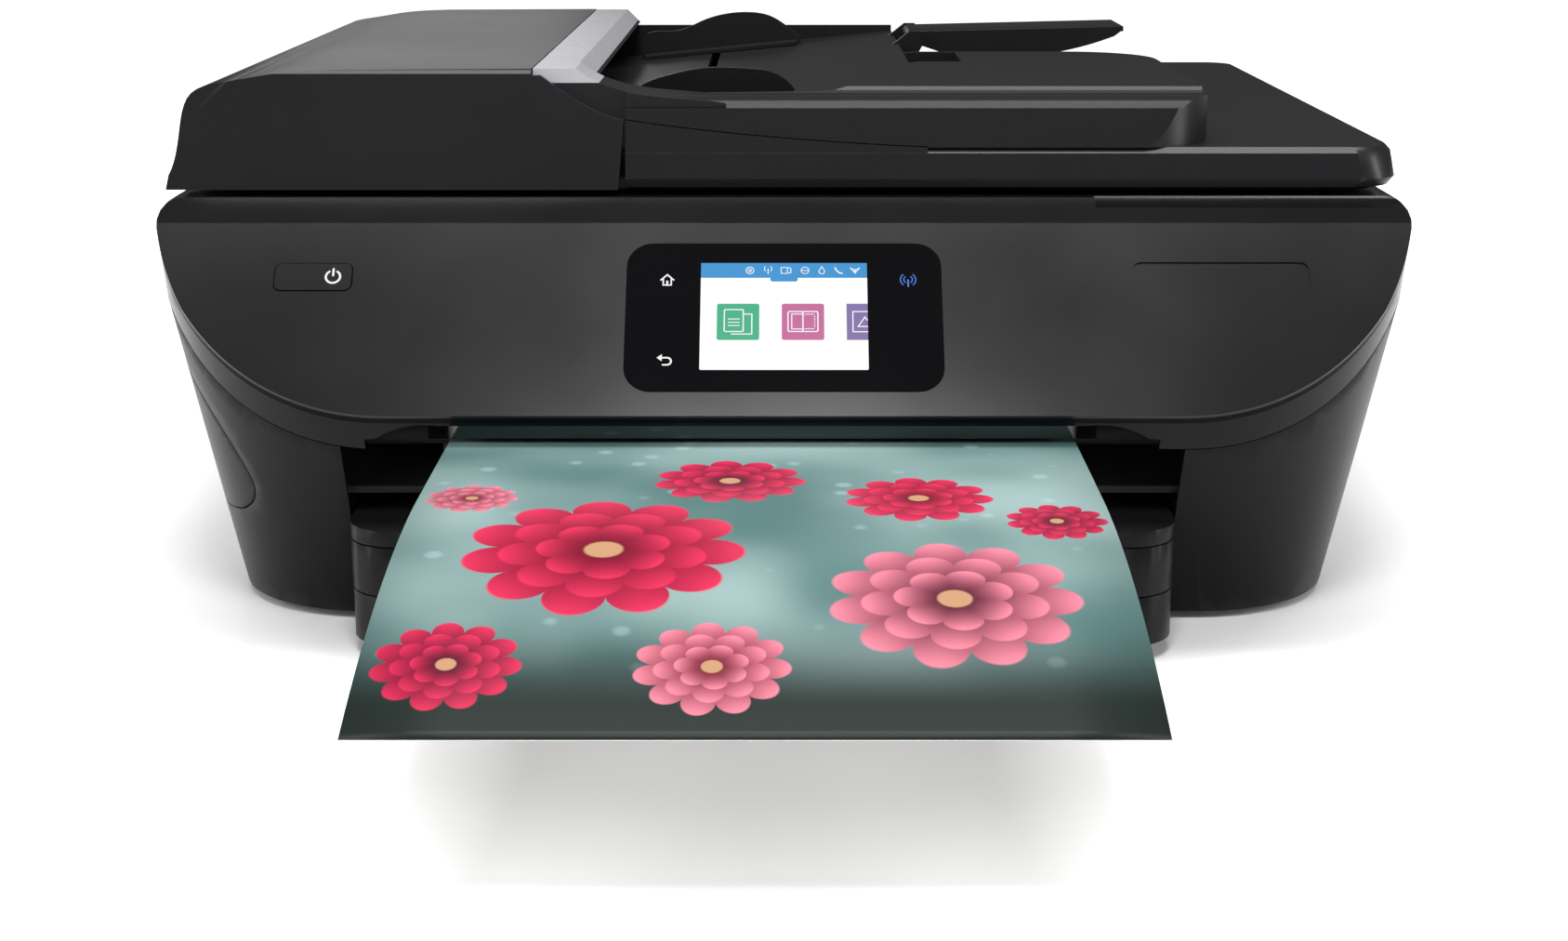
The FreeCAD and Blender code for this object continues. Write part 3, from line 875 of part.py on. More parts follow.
# Feeder frame under the hood, with the pick roller and the drive roller it carries.
FRAME_X0, FRAME_X1 = HOOD_LEFT + 17, HOOD_RIGHT - 1
FRAME_Y0, FRAME_Y1 = HOOD_FRONT_Y + 36, HOOD_REAR_Y - 24
FLOOR_LOW = LID_TOP + 3.5
PICK_X, PICK_Z, PICK_R = HOOD_RIGHT - 24, FLOOR_LOW + 8.8, 8.0
DRIVE_X, DRIVE_Z, DRIVE_R = HOOD_LEFT + 58, FLOOR_LOW + 8, 11.0
frame_across = [(FRAME_X0, HOOD_FLOOR), (FRAME_X0, FLOOR_LOW + 6), (FRAME_X0 + 5, FLOOR_LOW + 6)]
frame_across += [(DRIVE_X + 13 * math.cos(math.radians(a)), DRIVE_Z + 13 * math.sin(math.radians(a)))
                 for a in range(200, 301, 10)]
frame_across += [(DRIVE_X + 14, FLOOR_LOW - 2), (FRAME_X1, FLOOR_LOW - 1), (FRAME_X1, HOOD_FLOOR)]
frame = prism_y(frame_across, FRAME_Y0, FRAME_Y1)
cheeks = []
for cheek_y in (FRAME_Y0, FRAME_Y1 - 4):
    cheek = [(DRIVE_X - 16, HOOD_FLOOR + 2), (DRIVE_X - 12, DRIVE_Z + 7), (PICK_X + 7, PICK_Z + 6),
             (PICK_X + 12, FLOOR_LOW - 3)]
    cheeks.append(prism_y(cheek, cheek_y, cheek_y + 4))
frame = frame.fuse(cheeks).cut([
    rod_y(FRAME_Y0 - 2, FRAME_Y1 + 2, PICK_X, PICK_Z, 3.0 + RUN),
    rod_y(FRAME_Y0 - 2, FRAME_Y1 + 2, DRIVE_X, DRIVE_Z, 3.0 + RUN),
])
parts["feeder_frame"] = frame
FRAME_MID = (FRAME_Y0 + FRAME_Y1) / 2
parts["pick_roller"] = rod_y(FRAME_Y0 - 1, FRAME_Y1 + 1, PICK_X, PICK_Z, 3.0).fuse(
    rod_y(FRAME_MID - 22, FRAME_MID + 22, PICK_X, PICK_Z, PICK_R))
parts["drive_roller"] = rod_y(FRAME_Y0 - 1, FRAME_Y1 + 1, DRIVE_X, DRIVE_Z, 3.0).fuse(
    [rod_y(FRAME_MID + dy - 18, FRAME_MID + dy + 18, DRIVE_X, DRIVE_Z, DRIVE_R) for dy in (-80, 0, 80)])

# Feeder input tray: collar at the throat, swoosh front, sloping floor and a rounded right lobe.
TRAY_TOP = DECK_HEIGHT + TRAY_SHELF + 1.5
TRAY_FRONT_Y = CREASE_Y - 2
TRAY_REAR_Y = HOOD_REAR_Y - 21
COLLAR_X0 = HOOD_RIGHT + 0.5
COLLAR_X1 = COLLAR_X0 + COLLAR_WIDTH
tray_front = front_line(LID_TOP)
tray_main = rounded_block(COLLAR_X0, LOBE_X + 30, tray_front, LOBE_REAR, LID_TOP, TRAY_TOP, 0.4, 0.4)
tray_lobe = rounded_block(LOBE_X - 70, FEED_TRAY_RIGHT, tray_front, LOBE_REAR,
                          LID_TOP, TRAY_TOP, LOBE_CORNER, 34)
tray_back = box(COLLAR_X0, LOBE_X, LOBE_REAR - 1, TRAY_REAR_Y, LID_TOP, TRAY_TOP + 2)
right_of_lobe = box(LOBE_X, CASE_WIDTH, -BODY_DEPTH, BODY_DEPTH, 0, CASE_WIDTH)
tray = tray_main.cut(right_of_lobe).fuse([tray_lobe, tray_back])
front_round = [(TRAY_FRONT_Y - 5, TRAY_TOP - 3), (TRAY_FRONT_Y - 5, TRAY_TOP + 9)]
front_round += [(TRAY_FRONT_Y + 40, TRAY_TOP + 9)]
front_round += smooth([(TRAY_FRONT_Y + 34, TRAY_TOP + 0.01), (TRAY_FRONT_Y + 12, TRAY_TOP - 0.9),
                       (TRAY_FRONT_Y + 2, TRAY_TOP - 2.4), (TRAY_FRONT_Y - 0.1, TRAY_TOP - 4.5)])
tray = tray.cut(prism_x(front_round, -CASE_WIDTH, CASE_WIDTH))
swoosh_top = [(COLLAR_X0, LID_TOP), (COLLAR_X0, HOOD_TOP)]
swoosh_top += smooth([(COLLAR_X1 - 0.5, HOOD_TOP), (COLLAR_X1 + 10, HOOD_TOP - 5.8),
                      (COLLAR_X1 + 27, HOOD_TOP - 9.5), (COLLAR_X1 + 54, HOOD_TOP - 12.2)])
swoosh_top += [(COLLAR_X1 + 54, LID_TOP)]
shelf_back = from_front(112)
collar_top = [(COLLAR_X0, HOOD_TOP - 6), (COLLAR_X0, HOOD_TOP), (COLLAR_X1 - 1, HOOD_TOP),
              (COLLAR_X1 + 5, HOOD_TOP - 6)]
swoosh = prism_y(swoosh_top, TRAY_FRONT_Y, shelf_back)
collar = prism_y(collar_top, shelf_back - 6, TRAY_REAR_Y)
tray = tray.fuse([swoosh, collar])
FLOOR_RUN = 0.098
floor_cut = [(COLLAR_X0 - 2, FLOOR_LOW), (LOBE_X + 25, FLOOR_LOW + FLOOR_RUN * (LOBE_X + 25 - COLLAR_X0))]
floor_cut += [(LOBE_X + 25, HOOD_TOP + 5), (COLLAR_X1 + 5, HOOD_TOP + 5), (COLLAR_X1 + 5, HOOD_TOP - 6)]
floor_cut += [(COLLAR_X0 - 2, HOOD_TOP - 6)]
edge = smooth([(-47, 116), (-9, 128), (10, 152), (19, 196), (21, 240)])
floor_plan = [(COLLAR_X0 - 2, from_front(118)), (COLLAR_X1 + 15, from_front(115))]
floor_plan += [(LOBE_X + run, from_front(setback)) for run, setback in edge]
floor_plan += [(LOBE_X + 22, LOBE_REAR + 5), (LOBE_X + 5, LOBE_REAR + 5), (LOBE_X + 5, TRAY_REAR_Y - 5)]
floor_plan += [(COLLAR_X0 - 2, TRAY_REAR_Y - 5)]
floor_void = prism_y(floor_cut, -BODY_DEPTH, BODY_DEPTH)
tray = tray.cut(floor_void.common(prism_z(floor_plan, LID_TOP + 1, CASE_WIDTH)))
behind_skirt = prism_x([(TRAY_FRONT_Y - 9, LID_TOP - 1), (TRAY_FRONT_Y - 9, CASE_WIDTH),
                        (CREASE_Y + 2.6, CASE_WIDTH), (CREASE_Y + 2.6, HOOD_TOP),
                        (CREASE_Y + 2.6 - SKIRT_SLOPE * 30, HOOD_TOP - 30)], COLLAR_X0 - 3, HOOD_SKIRT + 0.6)
front_slope = prism_x([(TRAY_FRONT_Y - 30, LID_TOP - 1), (TRAY_FRONT_Y - 30, HOOD_TOP + 5),
                       (front_line(HOOD_TOP + 5), HOOD_TOP + 5), (front_line(LID_TOP - 1), LID_TOP - 1)],
                      -CASE_WIDTH, CASE_WIDTH)
tray = tray.cut([behind_skirt, front_slope, lip_zone(SEAM)])
notch = box(LOBE_X, LOBE_X + 22, LOBE_REAR - 46, LOBE_REAR - 4, LID_TOP + 4, CASE_WIDTH)
hollow = [(COLLAR_X1 + 8, LID_TOP - 1), (COLLAR_X1 + 8, FLOOR_LOW + FLOOR_RUN * 20 - 3)]
hollow += [(LOBE_X - 5, FLOOR_LOW + FLOOR_RUN * (LOBE_X - 5 - COLLAR_X0) - 3), (LOBE_X - 5, LID_TOP - 1)]
tray = tray.cut([notch, prism_y(hollow, TRAY_FRONT_Y + 24, TRAY_REAR_Y - 9)])

# The light collar is its own piece: the top of the throat from front to back.
collar_zone = box(COLLAR_X0 - 5, COLLAR_X1 + 9, -BODY_DEPTH, BODY_DEPTH, HOOD_TOP - 5, HOOD_TOP + 5)
parts["feeder_collar"] = tray.common(collar_zone)
tray = tray.cut(collar_zone)

# Tray extension, flipped out on a pin carried by two ears at the tray's right end.
EXT_Y0, EXT_Y1 = from_front(311), from_front(352)
EXT_X, EXT_Z = LOBE_X + 7, TRAY_TOP + 1.5
ears = []
for ear_y in (EXT_Y0 - 4.5, EXT_Y1 + 0.5):
    ear = [(LOBE_X - 4, LID_TOP), (LOBE_X - 4, TRAY_TOP - 2), (EXT_X - 2, EXT_Z + 3.5),
           (EXT_X + 3, EXT_Z + 3.5), (EXT_X + 4, EXT_Z - 3), (LOBE_X + 2, LID_TOP)]
    ears.append(prism_y(ear, ear_y, ear_y + 4))
tray = tray.fuse(ears + [rod_y(EXT_Y0 - 4.5, EXT_Y1 + 4.5, EXT_X, EXT_Z, 1.5)])
EXT_END = EXT_X + EXT_REACH
plate = [(EXT_X, EXT_Z + 0.6), (EXT_X, EXT_Z + 3.2), (EXT_END, EXT_Z + 5.4), (EXT_END, EXT_Z + 3.2)]
flange = [(EXT_X + 3, EXT_Z - 3), (EXT_X + 3, EXT_Z + 2), (EXT_END, EXT_Z + 4)]
flange += smooth([(EXT_END - 4, EXT_Z + 1), (EXT_END - 24, EXT_Z - 5), (EXT_END - 44, EXT_Z - 8)])
flange += [(EXT_X + 18, EXT_Z - 8)]
extension = rod_y(EXT_Y0, EXT_Y1, EXT_X, EXT_Z, 3.2).fuse([
    prism_y(plate, EXT_Y0, EXT_Y1), prism_y(flange, EXT_Y0, EXT_Y0 + 2.4)])
parts["tray_extension"] = extension.cut(rod_y(EXT_Y0 - 1, EXT_Y1 + 1, EXT_X, EXT_Z, 1.5 + RUN))

# Two feeder guides that slide together across the floor.
GUIDE_TOP = HOOD_TOP + 0.4


def floor_z(x):
    return FLOOR_LOW + FLOOR_RUN * (x - COLLAR_X0)


def feeder_guide(profile, y, foot_y0, foot_y1):
    """Fin on a foot; the profile gives runs from the collar and drops below the top."""
    points = [(COLLAR_X1 + run, GUIDE_TOP - drop) for run, drop in profile]
    fin = [(points[0][0], floor_z(points[0][0]) + SEAM)] + smooth(points)
    fin += [(points[-1][0], floor_z(points[-1][0]) + SEAM)]
    x0, x1 = points[0][0] + 2, points[-1][0] - 2
    foot = [(x0, floor_z(x0) + SEAM), (x0, floor_z(x0) + 2), (x1, floor_z(x1) + 2), (x1, floor_z(x1) + SEAM)]
    return prism_y(fin, y - 1.2, y + 1.2).fuse(prism_y(foot, foot_y0, foot_y1))


g_front, g_rear = from_front(GUIDE_FRONT), from_front(GUIDE_REAR)
parts["rear_guide"] = feeder_guide([(7, 14), (9, 10.8), (24, 8.6), (36, 4.0), (46, 1.0), (58, 0), (68, 1.6),
                                    (77, 7), (83, 12)], g_rear, g_rear - 12, g_rear + 1)
parts["front_guide"] = feeder_guide([(17, 14), (21, 11.2), (32, 7.4), (40, 5.6), (62, 5.2), (70, 6.4),
                                     (75, 9), (79, 13)], g_front, g_front - 1, g_front + 12)
slot_x = COLLAR_X1 + 43
guide_slot = box(slot_x - 2, slot_x + 2, g_front - 4, g_rear + 3, LID_TOP + 1, floor_z(slot_x) + 2)
parts["feeder_tray"] = tray.cut(guide_slot)

# Trays: paper tray below, photo tray on it, output tray on top.
TRAY_X0, TRAY_X1 = BAY_LEFT + 2, BAY_RIGHT - 2
paper_tray = rounded_block(TRAY_X0, TRAY_X1, FRONT_Y, FRONT_Y + PAPER_TRAY_DEPTH, PAPER_Z,
                           PAPER_Z + PAPER_TRAY_HEIGHT, TRAY_CORNER, 4)
paper_well = box(TRAY_X0 + 3, TRAY_X1 - 3, FRONT_Y + 24, FRONT_Y + PAPER_TRAY_DEPTH - 3, PAPER_Z + 2, PHOTO_Z)
pull = rod_x(BAY_CENTRE - 45, BAY_CENTRE + 45, FRONT_Y - 2, PAPER_Z - 3, 10)
parts["paper_tray"] = paper_tray.cut([paper_well, pull])
photo_tray = rounded_block(TRAY_X0, TRAY_X1, FRONT_Y, FRONT_Y + PHOTO_TRAY_DEPTH, PHOTO_Z,
                           PHOTO_Z + PHOTO_TRAY_HEIGHT, TRAY_CORNER, 4)
photo_back = FRONT_Y + PHOTO_TRAY_DEPTH - 6
photo_well = box(BAY_CENTRE - 66, BAY_CENTRE + 66, FRONT_Y + 26, photo_back, PHOTO_Z + 2.5, OUTPUT_Z)
light_wells = [box(x0, x1, FRONT_Y + 26, photo_back, PHOTO_Z - 1, PHOTO_Z + PHOTO_TRAY_HEIGHT - 2.5)
               for x0, x1 in ((TRAY_X0 + 3, BAY_CENTRE - 69), (BAY_CENTRE + 69, TRAY_X1 - 3))]
parts["photo_tray"] = photo_tray.cut([photo_well] + light_wells)
output_tray = rounded_block(TRAY_X0, TRAY_X1, FRONT_Y, FRONT_Y + OUTPUT_TRAY_DEPTH, OUTPUT_Z,
                            OUTPUT_Z + OUTPUT_TRAY_HEIGHT, TRAY_CORNER, 4)
output_top = OUTPUT_Z + OUTPUT_TRAY_HEIGHT
dish_x = [(BAY_CENTRE - 118, output_top + 1), (BAY_CENTRE - 112, output_top - 1.4),
          (BAY_CENTRE + 112, output_top - 1.4), (BAY_CENTRE + 118, output_top + 1)]
dish = prism_y(dish_x, FRONT_Y + 12, FRONT_Y + OUTPUT_TRAY_DEPTH + 5)
slide_slot = box(BAY_CENTRE - 48, BAY_CENTRE + 48,
                 FRONT_Y - 1, FRONT_Y + OUTPUT_TRAY_DEPTH - 8, OUTPUT_Z + 0.8,
                 OUTPUT_Z + 3.2)
parts["output_tray"] = output_tray.cut([dish, slide_slot])
slider = box(BAY_CENTRE - 48 + SEAM, BAY_CENTRE + 48 - SEAM, FRONT_Y, FRONT_Y + OUTPUT_TRAY_DEPTH - 14,
             OUTPUT_Z + 0.8 + SEAM, OUTPUT_Z + 3.2 - SEAM)
parts["output_extension"] = slider

# Width guides of the paper tray, moved together towards the middle.
guide_z = PAPER_Z + 2 + SEAM
for name, side in (("left_width_guide", -1), ("right_width_guide", 1)):
    fin_x = BAY_CENTRE + side * (SHEET_WIDTH / 2 + 1)
    foot_x = BAY_CENTRE + side * (BAY_WIDTH / 2 - 17)
    fin = box(min(fin_x, fin_x + side * 2), max(fin_x, fin_x + side * 2), FRONT_Y + 60, FRONT_Y + 190,
              guide_z, PAPER_Z + PAPER_TRAY_HEIGHT - 2)
    foot = box(min(fin_x, foot_x), max(fin_x, foot_x), FRONT_Y + 90, FRONT_Y + 160, guide_z, guide_z + 1.6)
    parts[name] = fin.fuse(foot)

# Printed sheet: flat through the rollers, then a gentle curl towards the table.
bend_y = FRONT_Y - SHEET_BEND
curl_angle = math.asin((SHEET_REACH - SHEET_BEND) / SHEET_CURL)
flat = SHEET_LENGTH - SHEET_CURL * curl_angle
curl_z = SHEET_HEIGHT - SHEET_CURL
half_thick = SHEET_THICK / 2


def curl_point(radius, angle):
    y, z = bend_y - radius * math.sin(angle), curl_z + radius * math.cos(angle)
    return Vec(BAY_CENTRE - SHEET_WIDTH / 2, y, z)


def curl_arc(radius):
    points = [curl_point(radius, share * curl_angle) for share in (0, 0.5, 1)]
    return Part.Arc(points[0], points[1], points[2]).toShape()


outer, inner = SHEET_CURL + half_thick, SHEET_CURL - half_thick
rear_top = Vec(BAY_CENTRE - SHEET_WIDTH / 2, bend_y + flat, SHEET_HEIGHT + half_thick)
rear_low = Vec(BAY_CENTRE - SHEET_WIDTH / 2, bend_y + flat, SHEET_HEIGHT - half_thick)
sheet_edges = [
    Part.makeLine(rear_top, curl_point(outer, 0)), curl_arc(outer),
    Part.makeLine(curl_point(outer, curl_angle), curl_point(inner, curl_angle)), curl_arc(inner),
    Part.makeLine(curl_point(inner, 0), rear_low), Part.makeLine(rear_low, rear_top),
]
sheet_face = Part.Face(Part.Wire(Part.sortEdges(sheet_edges)[0]))
parts["printed_sheet"] = sheet_face.extrude(Vec(SHEET_WIDTH, 0, 0))

os.makedirs("parts", exist_ok=True)
for name, shape in parts.items():
    shape.exportStep("parts/" + name + ".step")
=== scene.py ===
import math
import bpy
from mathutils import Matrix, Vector


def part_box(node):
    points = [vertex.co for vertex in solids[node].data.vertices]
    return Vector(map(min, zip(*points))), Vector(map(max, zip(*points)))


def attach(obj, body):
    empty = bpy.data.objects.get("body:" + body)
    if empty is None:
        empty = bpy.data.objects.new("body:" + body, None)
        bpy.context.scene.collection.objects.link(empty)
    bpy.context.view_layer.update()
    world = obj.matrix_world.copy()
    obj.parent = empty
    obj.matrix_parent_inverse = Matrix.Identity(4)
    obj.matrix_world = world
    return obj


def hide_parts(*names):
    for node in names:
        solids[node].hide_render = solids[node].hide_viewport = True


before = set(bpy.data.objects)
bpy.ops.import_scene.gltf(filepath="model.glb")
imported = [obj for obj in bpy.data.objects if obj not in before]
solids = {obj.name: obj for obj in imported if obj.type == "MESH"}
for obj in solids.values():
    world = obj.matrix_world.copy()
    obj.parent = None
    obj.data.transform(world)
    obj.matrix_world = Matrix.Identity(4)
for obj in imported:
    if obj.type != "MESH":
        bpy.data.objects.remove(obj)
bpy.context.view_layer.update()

# Lower case: two leaning side covers, a floor pan and a back cover, injection moulded in black
# plastic with a fine satin grain. They are held by screws driven up through the pan, and the
# whole case stands on four rubber feet.


def ink_over(tree, mask, under, over):
    """One colour laid over another through a mask; each is a colour or another node's output."""
    inks = tree.nodes.new("ShaderNodeMix")
    inks.data_type = "RGBA"
    entries = {socket.identifier: socket for socket in inks.inputs}
    results = {socket.identifier: socket for socket in inks.outputs}
    tree.links.new(mask, entries["Factor_Float"])
    for entry, ink in ((entries["A_Color"], under), (entries["B_Color"], over)):
        if isinstance(ink, tuple):
            entry.default_value = ink + (1.0,)
        else:
            tree.links.new(ink, entry)
    return results["Result_Color"]


def piece_finish(name, colour, rough, metal=0.0, coat=0.0, grain=0.0, wander=0.05, shine=0.5):
    """A finish whose tone and roughness wander slightly over a piece, with an optional grain."""
    tone_spread = 0.06
    mat = bpy.data.materials.new(name)
    mat.use_nodes = True
    tree = mat.node_tree
    bsdf = tree.nodes["Principled BSDF"]
    bsdf.inputs["Metallic"].default_value = metal
    bsdf.inputs["Specular IOR Level"].default_value = shine
    bsdf.inputs["Coat Weight"].default_value = coat
    bsdf.inputs["Coat Roughness"].default_value = 0.05
    place = tree.nodes.new("ShaderNodeTexCoord").outputs["Object"]
    cloud = tree.nodes.new("ShaderNodeTexNoise")
    cloud.inputs["Scale"].default_value = 14.0
    cloud.inputs["Detail"].default_value = 3.0
    tree.links.new(place, cloud.inputs["Vector"])
    gloss = tree.nodes.new("ShaderNodeMapRange")
    gloss.inputs["To Min"].default_value = max(0.0, rough - wander)
    gloss.inputs["To Max"].default_value = min(1.0, rough + wander)
    tree.links.new(cloud.outputs["Fac"], gloss.inputs["Value"])
    tree.links.new(gloss.outputs["Result"], bsdf.inputs["Roughness"])
    darker = tuple((1.0 - tone_spread) * part for part in colour)
    lighter = tuple(min(1.0, (1.0 + tone_spread) * part) for part in colour)
    tone = ink_over(tree, cloud.outputs["Fac"], darker, lighter)
    tree.links.new(tone, bsdf.inputs["Base Color"])
    if grain > 0:
        fine = tree.nodes.new("ShaderNodeTexNoise")
        fine.inputs["Scale"].default_value = 1100.0
        fine.inputs["Detail"].default_value = 2.0
        tree.links.new(place, fine.inputs["Vector"])
        bump = tree.nodes.new("ShaderNodeBump")
        bump.inputs["Strength"].default_value = grain
        bump.inputs["Distance"].default_value = 0.0003
        tree.links.new(fine.outputs["Fac"], bump.inputs["Height"])
        tree.links.new(bump.outputs["Normal"], bsdf.inputs["Normal"])
    return mat


def finish_pieces(mat, *names):
    """Gives the solids of the frame their finish."""
    for name in names:
        solids[name].data.materials.clear()
        solids[name].data.materials.append(mat)


def soften_edges(width, *names):
    """Rounds the sharp edges of solids so that they catch the light as moulded edges do."""
    for name in names:
        weld = solids[name].modifiers.new("weld", "WELD")
        weld.merge_threshold = 0.00001
        bevel = solids[name].modifiers.new("edges", "BEVEL")
        bevel.width = width
        bevel.segments = 2
        bevel.limit_method = "ANGLE"
        bevel.angle_limit = math.radians(40.0)
        bevel.harden_normals = True


def detail_row(name, shape, sizes, start, step, count, mat, body):
    """A row of like blocks or discs laid out by Geometry Nodes, as one plain mesh on a body."""
    tree = bpy.data.node_groups.new(name + "_row", "GeometryNodeTree")
    kinds = {int: "NodeSocketInt", float: "NodeSocketFloat", tuple: "NodeSocketVector"}
    values = dict(sizes, Count=count, Start=start, Step=step)
    sockets = {}
    for label, value in values.items():
        kind = kinds[type(value)]
        sockets[label] = tree.interface.new_socket(label, in_out="INPUT", socket_type=kind)
    tree.interface.new_socket("Geometry", in_out="OUTPUT", socket_type="NodeSocketGeometry")
    given = tree.nodes.new("NodeGroupInput").outputs
    line = tree.nodes.new("GeometryNodeMeshLine")
    one = tree.nodes.new("GeometryNodeMesh" + shape)
    copies = tree.nodes.new("GeometryNodeInstanceOnPoints")
    real = tree.nodes.new("GeometryNodeRealizeInstances")
    finish = tree.nodes.new("GeometryNodeSetMaterial")
    leave = tree.nodes.new("NodeGroupOutput")
    finish.inputs["Material"].default_value = mat
    for label in sizes:
        tree.links.new(given[label], one.inputs[label])
    for label, slot in (("Count", "Count"), ("Start", "Start Location"), ("Step", "Offset")):
        tree.links.new(given[label], line.inputs[slot])
    tree.links.new(line.outputs["Mesh"], copies.inputs["Points"])
    tree.links.new(one.outputs["Mesh"], copies.inputs["Instance"])
    tree.links.new(copies.outputs["Instances"], real.inputs["Geometry"])
    tree.links.new(real.outputs["Geometry"], finish.inputs["Geometry"])
    tree.links.new(finish.outputs["Geometry"], leave.inputs["Geometry"])
    made = bpy.data.objects.new(name, bpy.data.meshes.new(name))
    bpy.context.scene.collection.objects.link(made)
    row = made.modifiers.new("row", "NODES")
    row.node_group = tree
    for label, value in values.items():
        row[sockets[label].identifier] = value
    depsgraph = bpy.context.evaluated_depsgraph_get()
    plain = bpy.data.meshes.new_from_object(made.evaluated_get(depsgraph))
    made.modifiers.remove(row)
    made.data = plain
    plain.name = name
    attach(made, body)


CASE_EDGE = 0.0004
case_black = piece_finish("case_black", (0.007, 0.007, 0.0075), 0.32, grain=0.10, shine=0.08)
rubber = piece_finish("rubber", (0.016, 0.016, 0.016), 0.80, grain=0.3)
zinc = piece_finish("zinc_plate", (0.62, 0.63, 0.65), 0.48, metal=1.0)
finish_pieces(case_black, "base_pan", "left_side_cover", "right_side_cover", "rear_cover",
              "memory_door")
soften_edges(CASE_EDGE, "left_side_cover", "right_side_cover", "memory_door")
finish_pieces(rubber, "rubber_feet")

SCREW_HEAD = {"Vertices": 16, "Radius": 0.0032, "Depth": 0.0008}
SCREWS, SCREW_INSET, SCREW_SINK = 3, 0.012, 0.0002
FIRST_SCREW, LAST_SCREW = 0.05, 0.03
pan_low, pan_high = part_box("base_pan")
screw_step = (pan_high.y - pan_low.y - FIRST_SCREW - LAST_SCREW) / (SCREWS - 1)
for side, screw_x in (("left", pan_low.x + SCREW_INSET), ("right", pan_high.x - SCREW_INSET)):
    first_screw = (screw_x, pan_low.y + FIRST_SCREW, pan_low.z - SCREW_SINK)
    detail_row("pan_screws_" + side, "Cylinder", SCREW_HEAD, first_screw, (0.0, screw_step, 0.0),
               SCREWS, zinc, "base")

SLAT = {"Size": (0.0022, 0.0013, 0.022)}
SLATS, SLAT_STEP, SLAT_SINK = 24, 0.0052, 0.00065
VENT_LEFT, VENT_HEIGHT = -0.060, 0.092
rear_low, rear_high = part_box("rear_cover")
first_slat = (VENT_LEFT, rear_high.y - SLAT_SINK, rear_low.z + VENT_HEIGHT)
detail_row("rear_vent", "Cube", SLAT, first_slat, (SLAT_STEP, 0.0, 0.0), SLATS, case_black, "base")

# Print mechanism: a folded zinc-plated chassis on a grey inner deck, ground steel rods and
# shafts, rubber-covered rollers with white nylon gears and pulleys, and two flat rubber belts.
ground_steel = piece_finish("ground_steel", (0.66, 0.67, 0.69), 0.17, metal=1.0)
nylon = piece_finish("nylon", (0.78, 0.78, 0.74), 0.45)
grey_plastic = piece_finish("grey_plastic", (0.085, 0.085, 0.09), 0.55, grain=0.1)
belt_rubber = piece_finish("belt_rubber", (0.02, 0.02, 0.021), 0.7)
finish_pieces(grey_plastic, "inner_deck", "platen", "service_station")
finish_pieces(zinc, "chassis", "carriage_motor", "feed_motor")
finish_pieces(ground_steel, "carriage_rod", "star_wheels")
finish_pieces(rubber, "feed_roller", "exit_roller")
finish_pieces(nylon, "feed_gear", "motor_pinion", "drive_pulley", "idler_pulley")
finish_pieces(belt_rubber, "transport_belt", "carriage_belt")

# Electronics at the back: a green circuit board on posts with its chips, a row of capacitors and a
# row of contacts soldered on, a block of sockets, a plated power supply with its inlet, and the
# card reader behind the side door.
board_green = piece_finish("board_green", (0.012, 0.12, 0.05), 0.38, coat=0.4)
dark_plastic = piece_finish("dark_plastic", (0.022, 0.022, 0.024), 0.50, grain=0.1)
tin = piece_finish("tin", (0.60, 0.60, 0.62), 0.25, metal=1.0)
finish_pieces(board_green, "main_board")
finish_pieces(dark_plastic, "port_block", "power_inlet", "card_reader")
finish_pieces(zinc, "power_supply")
BOARD_RISE, SOLDER_DEPTH = 0.0066, 0.0001
CAPACITOR = {"Vertices": 14, "Radius": 0.0028, "Depth": 0.0084}
CAPACITORS, CAPACITOR_STEP = 6, 0.0085
CAPACITOR_X, CAPACITOR_Y = -0.060, 0.012
CONTACT = {"Size": (0.0008, 0.0008, 0.004)}
CONTACTS, CONTACT_STEP = 14, 0.00254
CONTACT_X, CONTACT_Y = -0.045, 0.060
board_low, board_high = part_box("main_board")
board_top = board_low.z + BOARD_RISE
first_capacitor = (board_high.x + CAPACITOR_X, board_low.y + CAPACITOR_Y,
                   board_top + CAPACITOR["Depth"] / 2 - SOLDER_DEPTH)
detail_row("board_capacitors", "Cylinder", CAPACITOR, first_capacitor, (CAPACITOR_STEP, 0.0, 0.0),
           CAPACITORS, tin, "base")
first_contact = (board_high.x + CONTACT_X, board_low.y + CONTACT_Y,
                 board_top + CONTACT["Size"][2] / 2 - SOLDER_DEPTH)
detail_row("board_header", "Cube", CONTACT, first_contact, (CONTACT_STEP, 0.0, 0.0), CONTACTS, tin,
           "base")

# Print carriage: a black plastic shuttle on the rod with two ink cartridges pushed in from the
# front. Each cartridge has a paper label; the colour one carries three bands of its inks.
ink_black = piece_finish("ink_black", (0.014, 0.014, 0.015), 0.42)
ink_colour = piece_finish("ink_colour", (0.022, 0.024, 0.03), 0.42)
finish_pieces(dark_plastic, "print_carriage")
finish_pieces(ink_black, "black_cartridge")
finish_pieces(ink_colour, "colour_cartridge")
LABEL_MARGIN = 0.003
LABEL_FOOT_IN, LABEL_FOOT_UP = 0.0056, 0.0088
LABEL_HEAD_IN, LABEL_HEAD_DOWN = 0.0095, 0.0061
LABEL_WHITE = (0.62, 0.62, 0.62)
INK_BANDS = ((0.0, 0.30, 0.55), (0.55, 0.02, 0.22), (0.75, 0.55, 0.02))


def add_piece(name, verts, faces, mat, body):
    """A mesh at the origin with its place in its vertices, riding on a body."""
    mesh = bpy.data.meshes.new(name)
    mesh.from_pydata([tuple(v) for v in verts], [], faces)
    mesh.materials.append(mat)
    mesh.update()
    made = bpy.data.objects.new(name, mesh)
    bpy.context.scene.collection.objects.link(made)
    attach(made, body)
    return made


